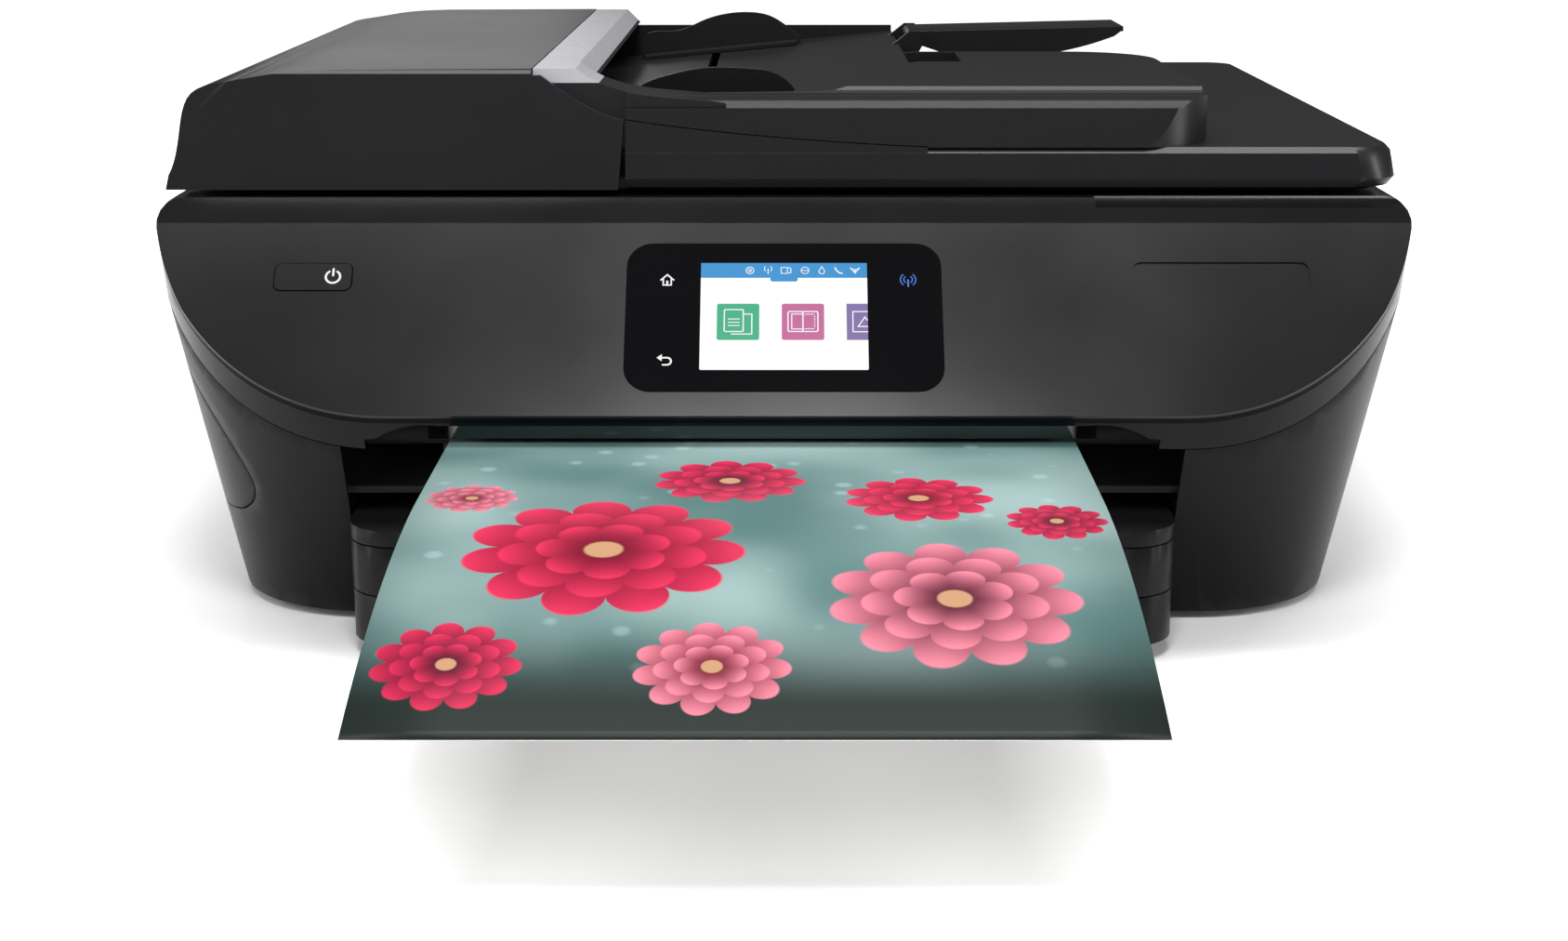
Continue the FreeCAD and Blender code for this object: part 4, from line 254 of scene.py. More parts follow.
def ink_label(name, cartridge, share_low, share_high, colour, body):
    """A printed band on the sloping nose of a cartridge, between two shares of its width."""
    low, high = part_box(cartridge)
    width = high.x - low.x - 2 * LABEL_MARGIN
    x0 = low.x + LABEL_MARGIN + share_low * width
    x1 = low.x + LABEL_MARGIN + share_high * width
    y0, z0 = low.y + LABEL_FOOT_IN, low.z + LABEL_FOOT_UP
    y1, z1 = low.y + LABEL_HEAD_IN, high.z - LABEL_HEAD_DOWN
    corners = [(x0, y0, z0), (x1, y0, z0), (x1, y1, z1), (x0, y1, z1)]
    add_piece(name, corners, [(0, 1, 2, 3)], piece_finish(name + "_paper", colour, 0.5), body)


ink_label("black_label", "black_cartridge", 0.0, 1.0, LABEL_WHITE, "black_ink")
for band, ink in enumerate(INK_BANDS):
    ink_label("colour_label_%d" % (band + 1), "colour_cartridge", band / len(INK_BANDS),
              (band + 1) / len(INK_BANDS), ink, "colour_ink")

# Trays: the paper tray with its two width guides below, the photo tray on it and the output tray
# with its pull-out extension on top, all moulded in black plastic with satin fronts and slid into
# the bay from the front.
TRAY_EDGE = 0.0008
finish_pieces(case_black, "paper_tray", "photo_tray", "output_tray", "output_extension")
finish_pieces(grey_plastic, "left_width_guide", "right_width_guide")
soften_edges(TRAY_EDGE, "paper_tray", "photo_tray", "output_tray", "output_extension")

# Upper case: the scanner bed is one black moulding with a flat glass window and a narrow glass
# strip for the feeder. The scan bar with its two white light strips runs on a steel rail under
# the glass.
deck_black = piece_finish("deck_black", (0.005, 0.005, 0.0055), 0.16, grain=0.04, shine=0.14)
clear_glass = piece_finish("clear_glass", (0.75, 0.82, 0.82), 0.04, wander=0.02)
clear_glass.node_tree.nodes["Principled BSDF"].inputs["Transmission Weight"].default_value = 0.85
lamp_white = piece_finish("lamp_white", (0.85, 0.87, 0.88), 0.3)
finish_pieces(deck_black, "scanner_bed")
finish_pieces(ground_steel, "scan_rail")
finish_pieces(dark_plastic, "scan_bar", "lid_hinges")
finish_pieces(clear_glass, "scan_glass")
LAMP_SHIFT, LAMP_HALF, LAMP_END = 0.006, 0.001, 0.008
LAMP_SINK, LAMP_RISE = 0.0002, 0.0003
LAMP_FACES = [(0, 2, 3, 1), (4, 5, 7, 6), (0, 1, 5, 4), (2, 6, 7, 3), (0, 4, 6, 2), (1, 3, 7, 5)]
bar_low, bar_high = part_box("scan_bar")
for number, shift in ((1, -LAMP_SHIFT), (2, LAMP_SHIFT)):
    lamp_x = (bar_low.x + bar_high.x) / 2 + shift
    lamp_corners = [(x, y, z) for z in (bar_high.z - LAMP_SINK, bar_high.z + LAMP_RISE)
                    for y in (bar_low.y + LAMP_END, bar_high.y - LAMP_END)
                    for x in (lamp_x - LAMP_HALF, lamp_x + LAMP_HALF)]
    add_piece("scan_lamp_%d" % number, lamp_corners, LAMP_FACES, lamp_white, "scan_head")

# Control panel: one satin fascia across the whole front, with a gloss band folded under it and a
# gloss black shield above the paper exit. The key and the glass sit in cut-outs of the fascia.
SATIN_SHINE, FOLD_SHINE, FOLD_POLISH = 0.32, 0.03, 0.4
SHIELD_SHINE = 0.85
fascia_black = piece_finish("fascia_black", (0.0055, 0.0055, 0.006), 0.21, grain=0.03,
                            shine=SATIN_SHINE)
gloss_black = piece_finish("gloss_black", (0.003, 0.003, 0.0035), 0.07, wander=0.02, shine=0.12)
glass_black = piece_finish("glass_black", (0.002, 0.002, 0.0025), 0.05, wander=0.02)
shield_black = piece_finish("shield_black", (0.003, 0.003, 0.0035), 0.06, wander=0.02,
                            shine=SHIELD_SHINE)
finish_pieces(fascia_black, "control_panel", "power_button")
finish_pieces(gloss_black, "trim_band")
finish_pieces(shield_black, "exit_shield")
finish_pieces(glass_black, "touch_glass")
finish_pieces(dark_plastic, "display_module")
finish_pieces(board_green, "button_board")


def node_sum(tree, operation, *values):
    """A sum on shader values; each value is a number or another node's output."""
    sums = tree.nodes.new("ShaderNodeMath")
    sums.operation = operation
    for entry, value in zip(sums.inputs, values):
        if isinstance(value, (int, float)):
            entry.default_value = value
        else:
            tree.links.new(value, entry)
    return sums.outputs["Value"]


def soft_mask(tree, value, full, gone, top=1.0, base=0.0):
    """A mask that is at its top where the value is at full and at its base where it is at gone."""
    mask = tree.nodes.new("ShaderNodeMapRange")
    mask.interpolation_type = "SMOOTHSTEP"
    mask.inputs["From Min"].default_value = gone
    mask.inputs["From Max"].default_value = full
    mask.inputs["To Min"].default_value = base
    mask.inputs["To Max"].default_value = top
    tree.links.new(value, mask.inputs["Value"])
    return mask.outputs["Result"]


# The shield mirrors the sheet below it; beyond the sheet its shine is cut away, a painted shade
# that keeps its two ends dark.
MIRROR_FULL, MIRROR_GONE = 0.1055, 0.1085
shield_tree = shield_black.node_tree
shield_place = shield_tree.nodes["Texture Coordinate"].outputs["Object"]
sideways = shield_tree.nodes.new("ShaderNodeSeparateXYZ")
shield_tree.links.new(shield_place, sideways.inputs["Vector"])
shield_low, shield_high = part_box("exit_shield")
shield_middle = (shield_low.x + shield_high.x) / 2
aside = node_sum(shield_tree, "SUBTRACT", sideways.outputs["X"], shield_middle)
aside = node_sum(shield_tree, "ABSOLUTE", aside)
mirror = soft_mask(shield_tree, aside, MIRROR_FULL, MIRROR_GONE, SHIELD_SHINE)
shield_tree.links.new(mirror, shield_tree.nodes["Principled BSDF"].inputs["Specular IOR Level"])

# The fold under the fascia and its rolled ends lie behind the fascia's plane, and are glossy; their
# shine is cut to a tenth of the satin's, a painted shade that keeps them dark.
PANEL_TILT = math.radians(42.0)
GLASS_UP, GLASS_PROUD, GLASS_SUNK = 0.0095, 0.0003, 0.0013
SATIN_DEPTH, FOLD_DEPTH = 0.0007, 0.0012
rise, lean = math.cos(PANEL_TILT), math.sin(PANEL_TILT)
panel_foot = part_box("touch_glass")[0] - Vector((0, GLASS_UP * lean, GLASS_UP * rise))
panel_foot += Vector((0, GLASS_PROUD * rise, GLASS_SUNK * lean))
fascia_tree = fascia_black.node_tree
fascia_bsdf = fascia_tree.nodes["Principled BSDF"]
outward = fascia_tree.nodes.new("ShaderNodeVectorMath")
outward.operation = "DOT_PRODUCT"
outward.inputs[1].default_value = (0.0, -rise, lean)
fascia_place = fascia_tree.nodes["Texture Coordinate"].outputs["Object"]
fascia_tree.links.new(fascia_place, outward.inputs[0])
plane = panel_foot.z * lean - panel_foot.y * rise
satin = soft_mask(fascia_tree, outward.outputs["Value"], plane - SATIN_DEPTH, plane - FOLD_DEPTH)
shine = node_sum(fascia_tree, "MULTIPLY_ADD", satin, SATIN_SHINE - FOLD_SHINE, FOLD_SHINE)
polish = node_sum(fascia_tree, "MULTIPLY_ADD", satin, 1.0 - FOLD_POLISH, FOLD_POLISH)
moulded_rough = fascia_bsdf.inputs["Roughness"].links[0].from_socket
fold_rough = node_sum(fascia_tree, "MULTIPLY", moulded_rough, polish)
fascia_tree.links.new(shine, fascia_bsdf.inputs["Specular IOR Level"])
fascia_tree.links.new(fold_rough, fascia_bsdf.inputs["Roughness"])

# Display: a lit white page behind the glass with a blue bar, a pull tab and three tiles. Its
# signs are generic line drawings, set out in millimetres across and up the slope of the panel.
MM = 0.001
PAGE_LIFT, TILE_LIFT, SIGN_LIFT = 0.04, 0.06, 0.08


def on_panel(x, up, out):
    """Point from millimetres across, up the slope and out from the glass."""
    out += GLASS_PROUD / MM
    return Vector((x * MM, panel_foot.y + (up * lean - out * rise) * MM,
                   panel_foot.z + (up * rise + out * lean) * MM))


def print_on_panel(name, outlines, out, mat, body="access_unit"):
    """Thin printed shapes on the panel, each outline in millimetres."""
    verts, faces = [], []
    for outline in outlines:
        first = len(verts)
        verts += [on_panel(x, up, out) for x, up in outline]
        faces.append(list(range(first, first + len(outline))))
    add_piece(name, verts, faces, mat, body)


def sign_line(points, width, closed=False):
    """Four-cornered outlines that follow a line of points with an even width."""
    outlines = []
    ends = points[1:] + points[:1] if closed else points[1:]
    for (x0, y0), (x1, y1) in zip(points, ends):
        length = math.hypot(x1 - x0, y1 - y0)
        ax, ay = (x1 - x0) / length * width / 2, (y1 - y0) / length * width / 2
        outlines.append([(x0 - ax + ay, y0 - ay - ax), (x1 + ax + ay, y1 + ay - ax),
                         (x1 + ax - ay, y1 + ay + ax), (x0 - ax - ay, y0 - ay + ax)])
    return outlines


def sign_arc(x, up, radius, start, stop, steps=14):
    """Points round part of a circle, between two angles in degrees."""
    angles = [math.radians(start + (stop - start) * i / steps) for i in range(steps + 1)]
    return [(x + radius * math.cos(a), up + radius * math.sin(a)) for a in angles]


def rounded_frame(left, foot, right, head, r):
    """Outline of an upright rectangle with rounded corners."""
    return (sign_arc(right - r, head - r, r, 0, 90, 4) + sign_arc(left + r, head - r, r, 90, 180, 4)
            + sign_arc(left + r, foot + r, r, 180, 270, 4)
            + sign_arc(right - r, foot + r, r, 270, 360, 4))


def lit_colour(name, colour):
    """A colour that shows by its own light under the gloss of the glass."""
    mat = piece_finish(name, (0.02, 0.02, 0.02), 0.15, wander=0.02)
    bsdf = mat.node_tree.nodes["Principled BSDF"]
    bsdf.inputs["Emission Color"].default_value = colour + (1.0,)
    bsdf.inputs["Emission Strength"].default_value = 1.0
    return mat


page_white = lit_colour("page_white", (0.98, 0.98, 1.0))
bar_blue = lit_colour("bar_blue", (0.012, 0.26, 0.60))
tile_green = lit_colour("tile_green", (0.022, 0.40, 0.20))
tile_pink = lit_colour("tile_pink", (0.52, 0.11, 0.29))
tile_purple = lit_colour("tile_purple", (0.19, 0.13, 0.36))
line_white = lit_colour("line_white", (0.90, 0.90, 0.92))
BAR_HEIGHT, PAGE_CORNER, TILE_CORNER = 6.1, 0.5, 0.8
page_left, page_right, page_foot, page_head = -29.2, 29.2, 17.8, 60.8
bar_foot = page_head - BAR_HEIGHT
bar_up = (bar_foot + page_head) / 2
tile_foot, tile_head, cut_tile_left = 29.6, 44.2, 21.8
page = rounded_frame(page_left, page_foot, page_right, page_head, PAGE_CORNER)
bar = [(page_left, bar_foot), (page_right, bar_foot), (page_right, page_head),
       (page_left, page_head)]
pull_tab = [(-4.8, bar_foot - 1.0), (-4.2, bar_foot - 1.5), (4.2, bar_foot - 1.5),
            (4.8, bar_foot - 1.0), (4.8, bar_foot), (-4.8, bar_foot)]
copy_tile = rounded_frame(-23.4, tile_foot, -8.6, tile_head, TILE_CORNER)
scan_tile = rounded_frame(-0.8, tile_foot, 14.0, tile_head, TILE_CORNER)
photo_tile = [(cut_tile_left, tile_foot), (page_right, tile_foot), (page_right, tile_head),
              (cut_tile_left, tile_head)]
print_on_panel("display_page", [page], PAGE_LIFT, page_white)
print_on_panel("display_bar", [bar, pull_tab], TILE_LIFT, bar_blue)
print_on_panel("display_tile_copy", [copy_tile], TILE_LIFT, tile_green)
print_on_panel("display_tile_scan", [scan_tile], TILE_LIFT, tile_pink)
print_on_panel("display_tile_photo", [photo_tile], TILE_LIFT, tile_purple)

# On the tiles: two leaves with lines of print, an open book, and a frame with a peak.
signs = sign_line(rounded_frame(-20.8, 33.0, -14.2, 41.8, 0.5), 0.42, True)
signs += sign_line([(-14.0, 40.0), (-11.2, 40.0), (-11.2, 32.0), (-18.2, 32.0)], 0.42)
for text_line in range(3):
    line_up = 38.0 - 1.3 * text_line
    signs += sign_line([(-19.4, line_up), (-15.6, line_up)], 0.34)
signs += sign_line(rounded_frame(1.4, 33.0, 11.8, 41.0, 0.6), 0.42, True)
signs += sign_line([(6.6, 34.0), (2.7, 34.0), (2.7, 40.0), (6.6, 40.0)], 0.36)
signs += sign_line([(6.6, 33.2), (6.6, 40.8)], 0.44)
for dash in range(5):
    for dash_up in (34.1, 39.9):
        signs += sign_line([(7.3 + 0.7 * dash, dash_up), (7.6 + 0.7 * dash, dash_up)], 0.3)
    signs += sign_line([(10.7, 34.9 + dash), (10.7, 35.2 + dash)], 0.3)
signs += sign_line([(29.0, 32.9), (24.0, 32.9), (24.0, 41.0), (29.0, 41.0)], 0.4)
signs += sign_line([(29.0, 35.0), (25.8, 35.0), (28.2, 38.8), (29.0, 37.6)], 0.4)
print_on_panel("display_tile_signs", signs, SIGN_LIFT, line_white)


def on_bar(*points):
    """Points from millimetres across and up from the middle line of the bar."""
    return [(x, bar_up + up) for x, up in points]


# On the bar: a ring, a mast with waves, a card, a barred ring, an ink drop, a handset and a leaf.
marks = sign_line(sign_arc(-12.0, bar_up, 1.35, 0, 360), 0.3)
marks += sign_line(sign_arc(-12.0, bar_up, 0.5, 0, 360), 0.3)
marks += sign_line(on_bar((-5.6, -1.3), (-5.6, 0.6)), 0.35)
for side in (0, 180):
    marks += sign_line(sign_arc(-5.6, bar_up + 0.7, 1.3, side - 40, side + 40, 5), 0.28)
marks += sign_line(rounded_frame(-1.0, bar_up - 1.2, 1.2, bar_up + 1.2, 0.2), 0.3, True)
marks += sign_line(on_bar((1.6, -1.0), (2.4, -1.0), (2.4, 0.8), (1.6, 1.2)), 0.3)
marks += sign_line(sign_arc(7.4, bar_up, 1.35, 0, 360), 0.28)
marks += sign_line(on_bar((6.1, 0.0), (8.7, 0.0)), 0.28)
drop_foot = sign_arc(13.3, bar_up - 0.4, 1.0, 170, 370, 8)
marks += sign_line(on_bar((13.3, 1.6), (12.3, -0.2)) + drop_foot + on_bar((13.3, 1.6)), 0.3)
marks += sign_line(on_bar((18.0, 1.1), (18.4, 0.1), (19.4, -0.9), (20.4, -1.2)), 0.5)
for way in (-1, 1):
    leaf = on_bar((25.0, -1.1), (25.0 + 1.6 * way, 1.0), (25.0 + 0.2 * way, 0.3), (25.0, -1.1))
    marks += sign_line(leaf, 0.3)
print_on_panel("display_bar_signs", marks, SIGN_LIFT, line_white)

# Touch signs lit through the black glass beside the display: home, back and a blue wireless sign.
# The power sign is printed on the key and moves with it.
home = sign_line([(-43.2, 53.9), (-41.0, 56.0), (-38.8, 53.9)], 0.55)
home += sign_line([(-42.4, 54.2), (-42.4, 51.8), (-39.6, 51.8), (-39.6, 54.2)], 0.5)
home += sign_line([(-41.0, 51.8), (-41.0, 53.2)], 0.7)
back_bend = sign_arc(-40.4, 21.2, 1.4, 90, -90, 8)
back_sign = sign_line([(-42.6, 22.6), (-40.6, 22.6)] + back_bend + [(-41.8, 19.8)], 0.6)
back_sign += [[(-44.0, 22.6), (-42.2, 21.2), (-42.2, 24.0)]]
print_on_panel("touch_signs", home + back_sign, PAGE_LIFT, line_white)
wireless = sign_line([(43.6, 51.4), (43.6, 53.8)], 0.6)
for radius in (1.5, 2.7):
    for side in (0, 180):
        wireless += sign_line(sign_arc(43.6, 54.0, radius, side - 48, side + 48, 8), 0.42)
sign_blue = lit_colour("sign_blue", (0.05, 0.16, 0.62))
print_on_panel("wireless_sign", wireless, PAGE_LIFT, sign_blue)
power_x, power_up = -158.6, 55.2
power_lines = sign_line(sign_arc(power_x, power_up, 2.5, 125, 415, 20), 0.75)
power_lines += sign_line([(power_x, power_up + 0.6), (power_x, power_up + 3.1)], 0.75)
print_on_panel("power_sign", power_lines, PAGE_LIFT, line_white, "power_key")

# Lid and document feeder: a flat black lid with a white pad, a roll-top hood over the feed
# rollers, a light grey collar at the feeder's mouth, its grey a painted highlight of the soft box
# on its top, and the input tray with two sliding guides and a flip-out extension.
LID_EDGE = 0.0005
lid_black = piece_finish("lid_black", (0.010, 0.010, 0.011), 0.34, grain=0.10, shine=0.22)
# The collar's light grey is a painted highlight of the soft box, laid over the whole collar.
collar_silver = piece_finish("collar_silver", (0.34, 0.34, 0.36), 0.28, coat=0.3)
pad_white = piece_finish("pad_white", (0.80, 0.80, 0.78), 0.6)
finish_pieces(lid_black, "lid_shell", "feeder_hood", "feeder_tray", "tray_extension",
              "front_guide", "rear_guide")
soften_edges(LID_EDGE, "lid_shell", "feeder_hood", "tray_extension", "front_guide", "rear_guide")
finish_pieces(collar_silver, "feeder_collar")
finish_pieces(pad_white, "lid_pad")
finish_pieces(dark_plastic, "feeder_frame")
finish_pieces(rubber, "pick_roller", "drive_roller")

# Printed sheet: satin letter paper leaving the rollers and curling towards the table. The print
# is a generic one, blossoms on a misty teal ground that darkens towards the front edge.
SHEET_CURL, CURL_RUN, PAPER_HALF = 0.426, 0.141, 0.00015
sheet_low, sheet_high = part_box("printed_sheet")
sheet_middle = (sheet_low.x + sheet_high.x) / 2
sheet_half = (sheet_high.x - sheet_low.x) / 2
sheet_z = sheet_high.z - PAPER_HALF
curl_start = sheet_low.y + CURL_RUN
curl_turn = math.asin(CURL_RUN / SHEET_CURL)
curl_length = SHEET_CURL * curl_turn
sheet_length = curl_length + sheet_high.y - curl_start


def on_sheet(across, along, lift):
    """Point from metres across, along from the front edge and above the paper's middle."""
    if along < curl_length:
        turn = curl_turn - along / SHEET_CURL
        radius = SHEET_CURL + lift
        return Vector((sheet_middle + across, curl_start - radius * math.sin(turn),
                       sheet_z - SHEET_CURL + radius * math.cos(turn)))
    return Vector((sheet_middle + across, curl_start + along - curl_length, sheet_z + lift))


# One blossom: three rings of petals, each given as its petals, reach and turn, round a seed head.
PETAL_RINGS = ((11, 1.0, 0.3), (9, 0.74, 1.0), (7, 0.48, 1.9))
PETAL_NOTCH, NOTCH_CURVE, PETAL_EDGE = 0.26, 0.55, 0.96
RIM_CURVE, GROOVE_TONE = 2.2, 0.45
SEED_FULL, SEED_GONE, SEED_TAN = 0.12, 0.15, (0.36, 0.20, 0.11)
blossom = bpy.data.node_groups.new("blossom", "ShaderNodeTree")
for label, kind in (("Ground", "Color"), ("Place", "Vector"), ("Centre", "Vector"),
                    ("Radius", "Float"), ("Heart", "Color"), ("Rim", "Color")):
    blossom.interface.new_socket(label, in_out="INPUT", socket_type="NodeSocket" + kind)
blossom.interface.new_socket("Print", in_out="OUTPUT", socket_type="NodeSocketColor")
given = blossom.nodes.new("NodeGroupInput").outputs
offset = blossom.nodes.new("ShaderNodeVectorMath")
offset.operation = "SUBTRACT"
blossom.links.new(given["Place"], offset.inputs[0])
blossom.links.new(given["Centre"], offset.inputs[1])
spread = blossom.nodes.new("ShaderNodeSeparateXYZ")
blossom.links.new(offset.outputs["Vector"], spread.inputs["Vector"])
spread_x, spread_y = spread.outputs["X"], spread.outputs["Y"]
angle = node_sum(blossom, "ARCTAN2", spread_y, spread_x)
square = node_sum(blossom, "MULTIPLY_ADD", spread_x, spread_x,
                  node_sum(blossom, "MULTIPLY", spread_y, spread_y))
distance = node_sum(blossom, "DIVIDE", node_sum(blossom, "SQRT", square), given["Radius"])
flower_ink = given["Ground"]
for petals, reach, turn in PETAL_RINGS:
    wave = node_sum(blossom, "MULTIPLY_ADD", angle, petals / 2, turn)
    lobe = node_sum(blossom, "ABSOLUTE", node_sum(blossom, "COSINE", wave))
    edge = node_sum(blossom, "MULTIPLY_ADD", node_sum(blossom, "POWER", lobe, NOTCH_CURVE),
                    PETAL_NOTCH * reach, (1.0 - PETAL_NOTCH) * reach)
    share = node_sum(blossom, "DIVIDE", distance, edge)
    groove = node_sum(blossom, "MULTIPLY_ADD", lobe, 1.0 - GROOVE_TONE, GROOVE_TONE)
    bright = node_sum(blossom, "MULTIPLY", node_sum(blossom, "POWER", share, RIM_CURVE), groove)
    petal = ink_over(blossom, bright, given["Heart"], given["Rim"])
    flower_ink = ink_over(blossom, soft_mask(blossom, share, PETAL_EDGE, 1.0), flower_ink, petal)
seed_head = soft_mask(blossom, distance, SEED_FULL, SEED_GONE)
flower_ink = ink_over(blossom, seed_head, flower_ink, SEED_TAN)
blossom.links.new(flower_ink, blossom.nodes.new("NodeGroupOutput").inputs["Print"])

# The printed face: mist, pale drops and a dark front edge, then the blossoms from back to front,
# each given as its place across and along the sheet, its radius, and its heart and rim.
DEEP_TEAL, MIST_TEAL = (0.046, 0.108, 0.104), (0.215, 0.300, 0.294)
DROP_PALE, FRONT_DARK = (0.40, 0.56, 0.56), (0.012, 0.018, 0.016)
CRIMSON, ROSE = (0.10, 0.002, 0.012), (0.50, 0.022, 0.070)
BERRY, BLUSH = (0.050, 0.003, 0.014), (0.58, 0.17, 0.23)
GARDEN = ((0.062, 0.098, 0.043, CRIMSON, ROSE), (0.164, 0.066, 0.037, BERRY, BLUSH),
          (0.158, 0.144, 0.024, CRIMSON, ROSE), (0.024, 0.032, 0.021, BERRY, ROSE),
          (0.096, 0.031, 0.022, CRIMSON, BLUSH), (0.199, 0.121, 0.016, BERRY, ROSE),
          (0.017, 0.144, 0.015, CRIMSON, BLUSH), (0.098, 0.164, 0.025, BERRY, ROSE))
paper_print = bpy.data.materials.new("paper_print")
paper_print.use_nodes = True
print_tree = paper_print.node_tree
print_bsdf = print_tree.nodes["Principled BSDF"]
print_bsdf.inputs["Roughness"].default_value = 0.42
print_bsdf.inputs["Specular IOR Level"].default_value = 0.12
measure = print_tree.nodes.new("ShaderNodeVectorMath")
measure.operation = "MULTIPLY"
measure.inputs[1].default_value = (2 * sheet_half, sheet_length, 0.0)
print_tree.links.new(print_tree.nodes.new("ShaderNodeTexCoord").outputs["UV"], measure.inputs[0])
print_place = measure.outputs["Vector"]
lengthways = print_tree.nodes.new("ShaderNodeSeparateXYZ")
print_tree.links.new(print_place, lengthways.inputs["Vector"])
mist = print_tree.nodes.new("ShaderNodeTexNoise")
mist.inputs["Scale"].default_value = 11.0
mist.inputs["Detail"].default_value = 1.5
print_tree.links.new(print_place, mist.inputs["Vector"])
drops = print_tree.nodes.new("ShaderNodeTexVoronoi")
drops.inputs["Scale"].default_value = 62.0
print_tree.links.new(print_place, drops.inputs["Vector"])
mist_mask = soft_mask(print_tree, mist.outputs["Fac"], full=0.70, gone=0.30)
drop_mask = soft_mask(print_tree, drops.outputs["Distance"], full=0.10, gone=0.22, top=0.22)
front_mask = soft_mask(print_tree, lengthways.outputs["Y"], full=0.012, gone=0.058)
print_ink = ink_over(print_tree, mist_mask, DEEP_TEAL, MIST_TEAL)
print_ink = ink_over(print_tree, drop_mask, print_ink, DROP_PALE)
print_ink = ink_over(print_tree, front_mask, print_ink, FRONT_DARK)
for across, along, radius, heart, rim in GARDEN:
    flower = print_tree.nodes.new("ShaderNodeGroup")
    flower.node_tree = blossom
    flower.inputs["Centre"].default_value = (across, along, 0.0)
    flower.inputs["Radius"].default_value = radius
    flower.inputs["Heart"].default_value = heart + (1.0,)
    flower.inputs["Rim"].default_value = rim + (1.0,)
    print_tree.links.new(print_place, flower.inputs["Place"])
    print_tree.links.new(print_ink, flower.inputs["Ground"])
    print_ink = flower.outputs["Print"]
print_tree.links.new(print_ink, print_bsdf.inputs["Base Color"])

# The paper itself: printed face and white back in turn for each cell, closed round the edge.
ROWS, COLUMNS = 72, 8
WIDE = COLUMNS + 1
BACK = WIDE * (ROWS + 1)
verts, faces, print_corners = [], [], []
for lift in (PAPER_HALF, -PAPER_HALF):
    for row in range(ROWS + 1):
        for column in range(WIDE):
            across = sheet_half * (2 * column / COLUMNS - 1)
            verts.append(on_sheet(across, sheet_length * row / ROWS, lift))
            print_corners.append((column / COLUMNS, row / ROWS))
for row in range(ROWS):
    for column in range(COLUMNS):
        i = row * WIDE + column
        faces.append((i, i + 1, i + WIDE + 1, i + WIDE))
        faces.append((BACK + i, BACK + i + WIDE, BACK + i + WIDE + 1, BACK + i + 1))
edge_line = list(range(WIDE)) + [row * WIDE + COLUMNS for row in range(1, ROWS + 1)]
edge_line += [ROWS * WIDE + column for column in range(COLUMNS - 1, -1, -1)]
edge_line += [row * WIDE for row in range(ROWS - 1, 0, -1)]
for i, j in zip(edge_line, edge_line[1:] + edge_line[:1]):
    faces.append((j, i, BACK + i, BACK + j))
paper = add_piece("printed_paper", verts, faces, paper_print, "sheet")
paper_white = piece_finish("paper_white", (0.80, 0.80, 0.78), 0.6)
paper.data.materials.append(paper_white)
print_map = paper.data.uv_layers.new(name="print")
for loop in paper.data.loops:
    print_map.data[loop.index].uv = print_corners[loop.vertex_index]
for polygon in paper.data.polygons:
    on_a_face = polygon.index < 2 * ROWS * COLUMNS
    polygon.use_smooth = on_a_face
    polygon.material_index = 0 if on_a_face and polygon.index % 2 == 0 else 1
finish_pieces(paper_white, "printed_sheet")
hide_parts("printed_sheet")

# Studio: a pale floor that glows white by its own light away from the case, a painted light that
# fades out near the case and leaves a painted shade round it, one large soft box overhead, one low
# behind the hood, two strips at the sides that draw the edges of the case, a glow for the fascia,
# and the camera.
FLOOR_HALF, FLOOR_BACK, FLOOR_WIDEN = 9.0, 0.12, 1.2
FADE_NEAR, FADE_FAR, FADE_BASE, GLOW_UNSEEN = 0.33, 0.52, 0.02, 0.15
floor_mesh = bpy.data.meshes.new("floor")
floor_mesh.from_pydata([(-FLOOR_HALF, -FLOOR_HALF, 0), (FLOOR_HALF, -FLOOR_HALF, 0),
                        (FLOOR_HALF, FLOOR_HALF, 0), (-FLOOR_HALF, FLOOR_HALF, 0)],
                       [], [(0, 1, 2, 3)])
floor = bpy.data.objects.new("floor", floor_mesh)
bpy.context.scene.collection.objects.link(floor)
floor_white = bpy.data.materials.new("floor_white")
floor_white.use_nodes = True
floor_mesh.materials.append(floor_white)
floor_tree = floor_white.node_tree
floor_bsdf = floor_tree.nodes["Principled BSDF"]
floor_bsdf.inputs["Base Color"].default_value = (0.84, 0.84, 0.84, 1)
floor_bsdf.inputs["Roughness"].default_value = 0.4
floor_bsdf.inputs["Specular IOR Level"].default_value = 0.15
floor_bsdf.inputs["Emission Color"].default_value = (1, 1, 1, 1)
floor_place = floor_tree.nodes.new("ShaderNodeTexCoord").outputs["Object"]
widen = floor_tree.nodes.new("ShaderNodeVectorMath")
widen.operation = "MULTIPLY_ADD"
widen.inputs[1].default_value = (FLOOR_WIDEN, 1.0, 1.0)
widen.inputs[2].default_value = (0.0, -FLOOR_BACK, 0.0)
floor_tree.links.new(floor_place, widen.inputs[0])
away = floor_tree.nodes.new("ShaderNodeVectorMath")
away.operation = "LENGTH"
floor_tree.links.new(widen.outputs["Vector"], away.inputs[0])
# Painted light: the floor glows more the farther it lies from the case, so near the case it keeps a
# painted shade.
fade = soft_mask(floor_tree, away.outputs["Value"], FADE_FAR, FADE_NEAR, base=FADE_BASE)
floor_seen = floor_tree.nodes.new("ShaderNodeLightPath").outputs["Is Camera Ray"]
glow = node_sum(floor_tree, "MULTIPLY_ADD", floor_seen, 1.0 - GLOW_UNSEEN, GLOW_UNSEEN)
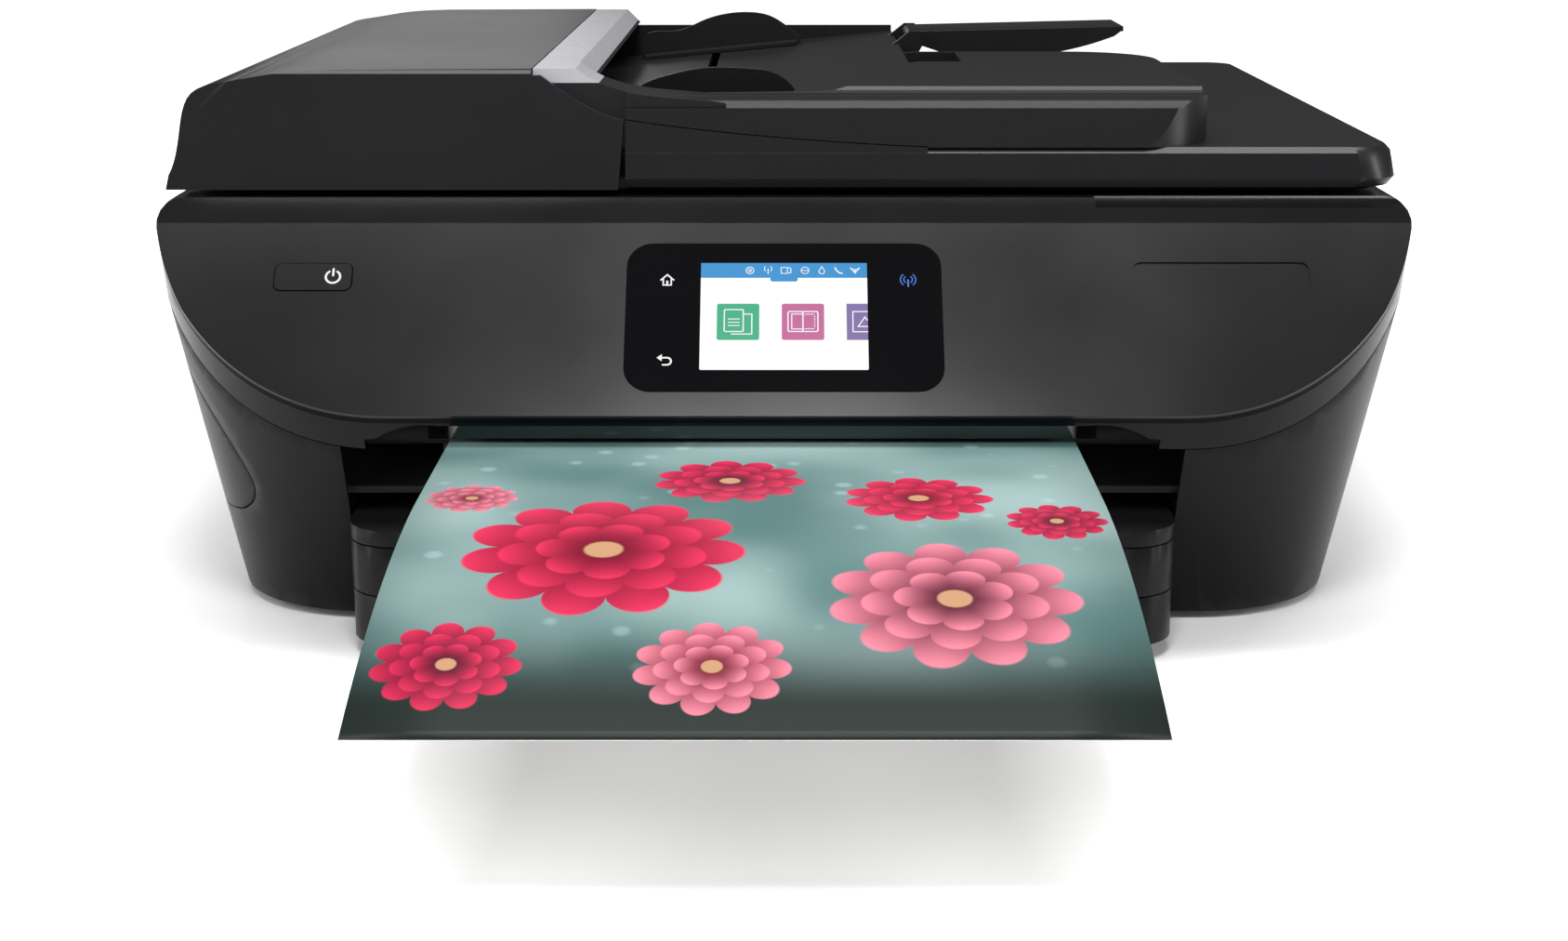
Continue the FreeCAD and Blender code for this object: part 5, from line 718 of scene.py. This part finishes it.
floor_glow = node_sum(floor_tree, "MULTIPLY", fade, glow)
floor_tree.links.new(floor_glow, floor_bsdf.inputs["Emission Strength"])


def soft_box(name, place, target, width, height, power):
    """A rectangular lamp at a place, turned towards a target."""
    lamp = bpy.data.lights.new(name, "AREA")
    lamp.shape = "RECTANGLE"
    lamp.size = width
    lamp.size_y = height
    lamp.energy = power
    box = bpy.data.objects.new(name, lamp)
    box.location = place
    box.rotation_euler = (Vector(target) - Vector(place)).to_track_quat("-Z", "Y").to_euler()
    bpy.context.scene.collection.objects.link(box)


soft_box("overhead", (0.0, -0.02, 1.5), (0.0, 0.0, 0.1), 1.6, 0.42, 32.0)
soft_box("hood_light", (-0.55, 2.2, 0.75), (-0.12, 0.15, 0.19), 0.6, 0.4, 1.3)
soft_box("left_strip", (-1.1, -0.35, 0.45), (-0.1, 0.0, 0.08), 0.25, 0.9, 8.0)
soft_box("right_strip", (1.1, -0.35, 0.45), (0.1, 0.0, 0.08), 0.25, 0.9, 8.0)
soft_box("fascia_glow", (0.0, -0.74, 1.25), (0.0, -0.09, 0.1), 0.30, 0.20, 10.0)
SKY_LIGHT = 0.07
world = bpy.data.worlds.new("studio")
bpy.context.scene.world = world
world.use_nodes = True
sky_tree = world.node_tree
sky = sky_tree.nodes["Background"]
sky.inputs["Color"].default_value = (1, 1, 1, 1)
sky_seen = sky_tree.nodes.new("ShaderNodeLightPath").outputs["Is Camera Ray"]
sky_glow = node_sum(sky_tree, "MULTIPLY_ADD", sky_seen, 1.0 - SKY_LIGHT, SKY_LIGHT)
sky_tree.links.new(sky_glow, sky.inputs["Strength"])
camera_data = bpy.data.cameras.new("camera")
camera_data.lens = 52.28
camera_data.sensor_width = 36.0
camera = bpy.data.objects.new("camera", camera_data)
camera.location = (0.0, -0.852, 0.277)
camera.rotation_euler = (math.radians(74.47), 0.0, 0.0)
bpy.context.scene.collection.objects.link(camera)
bpy.context.scene.camera = camera
bpy.context.scene.view_settings.view_transform = "Standard"
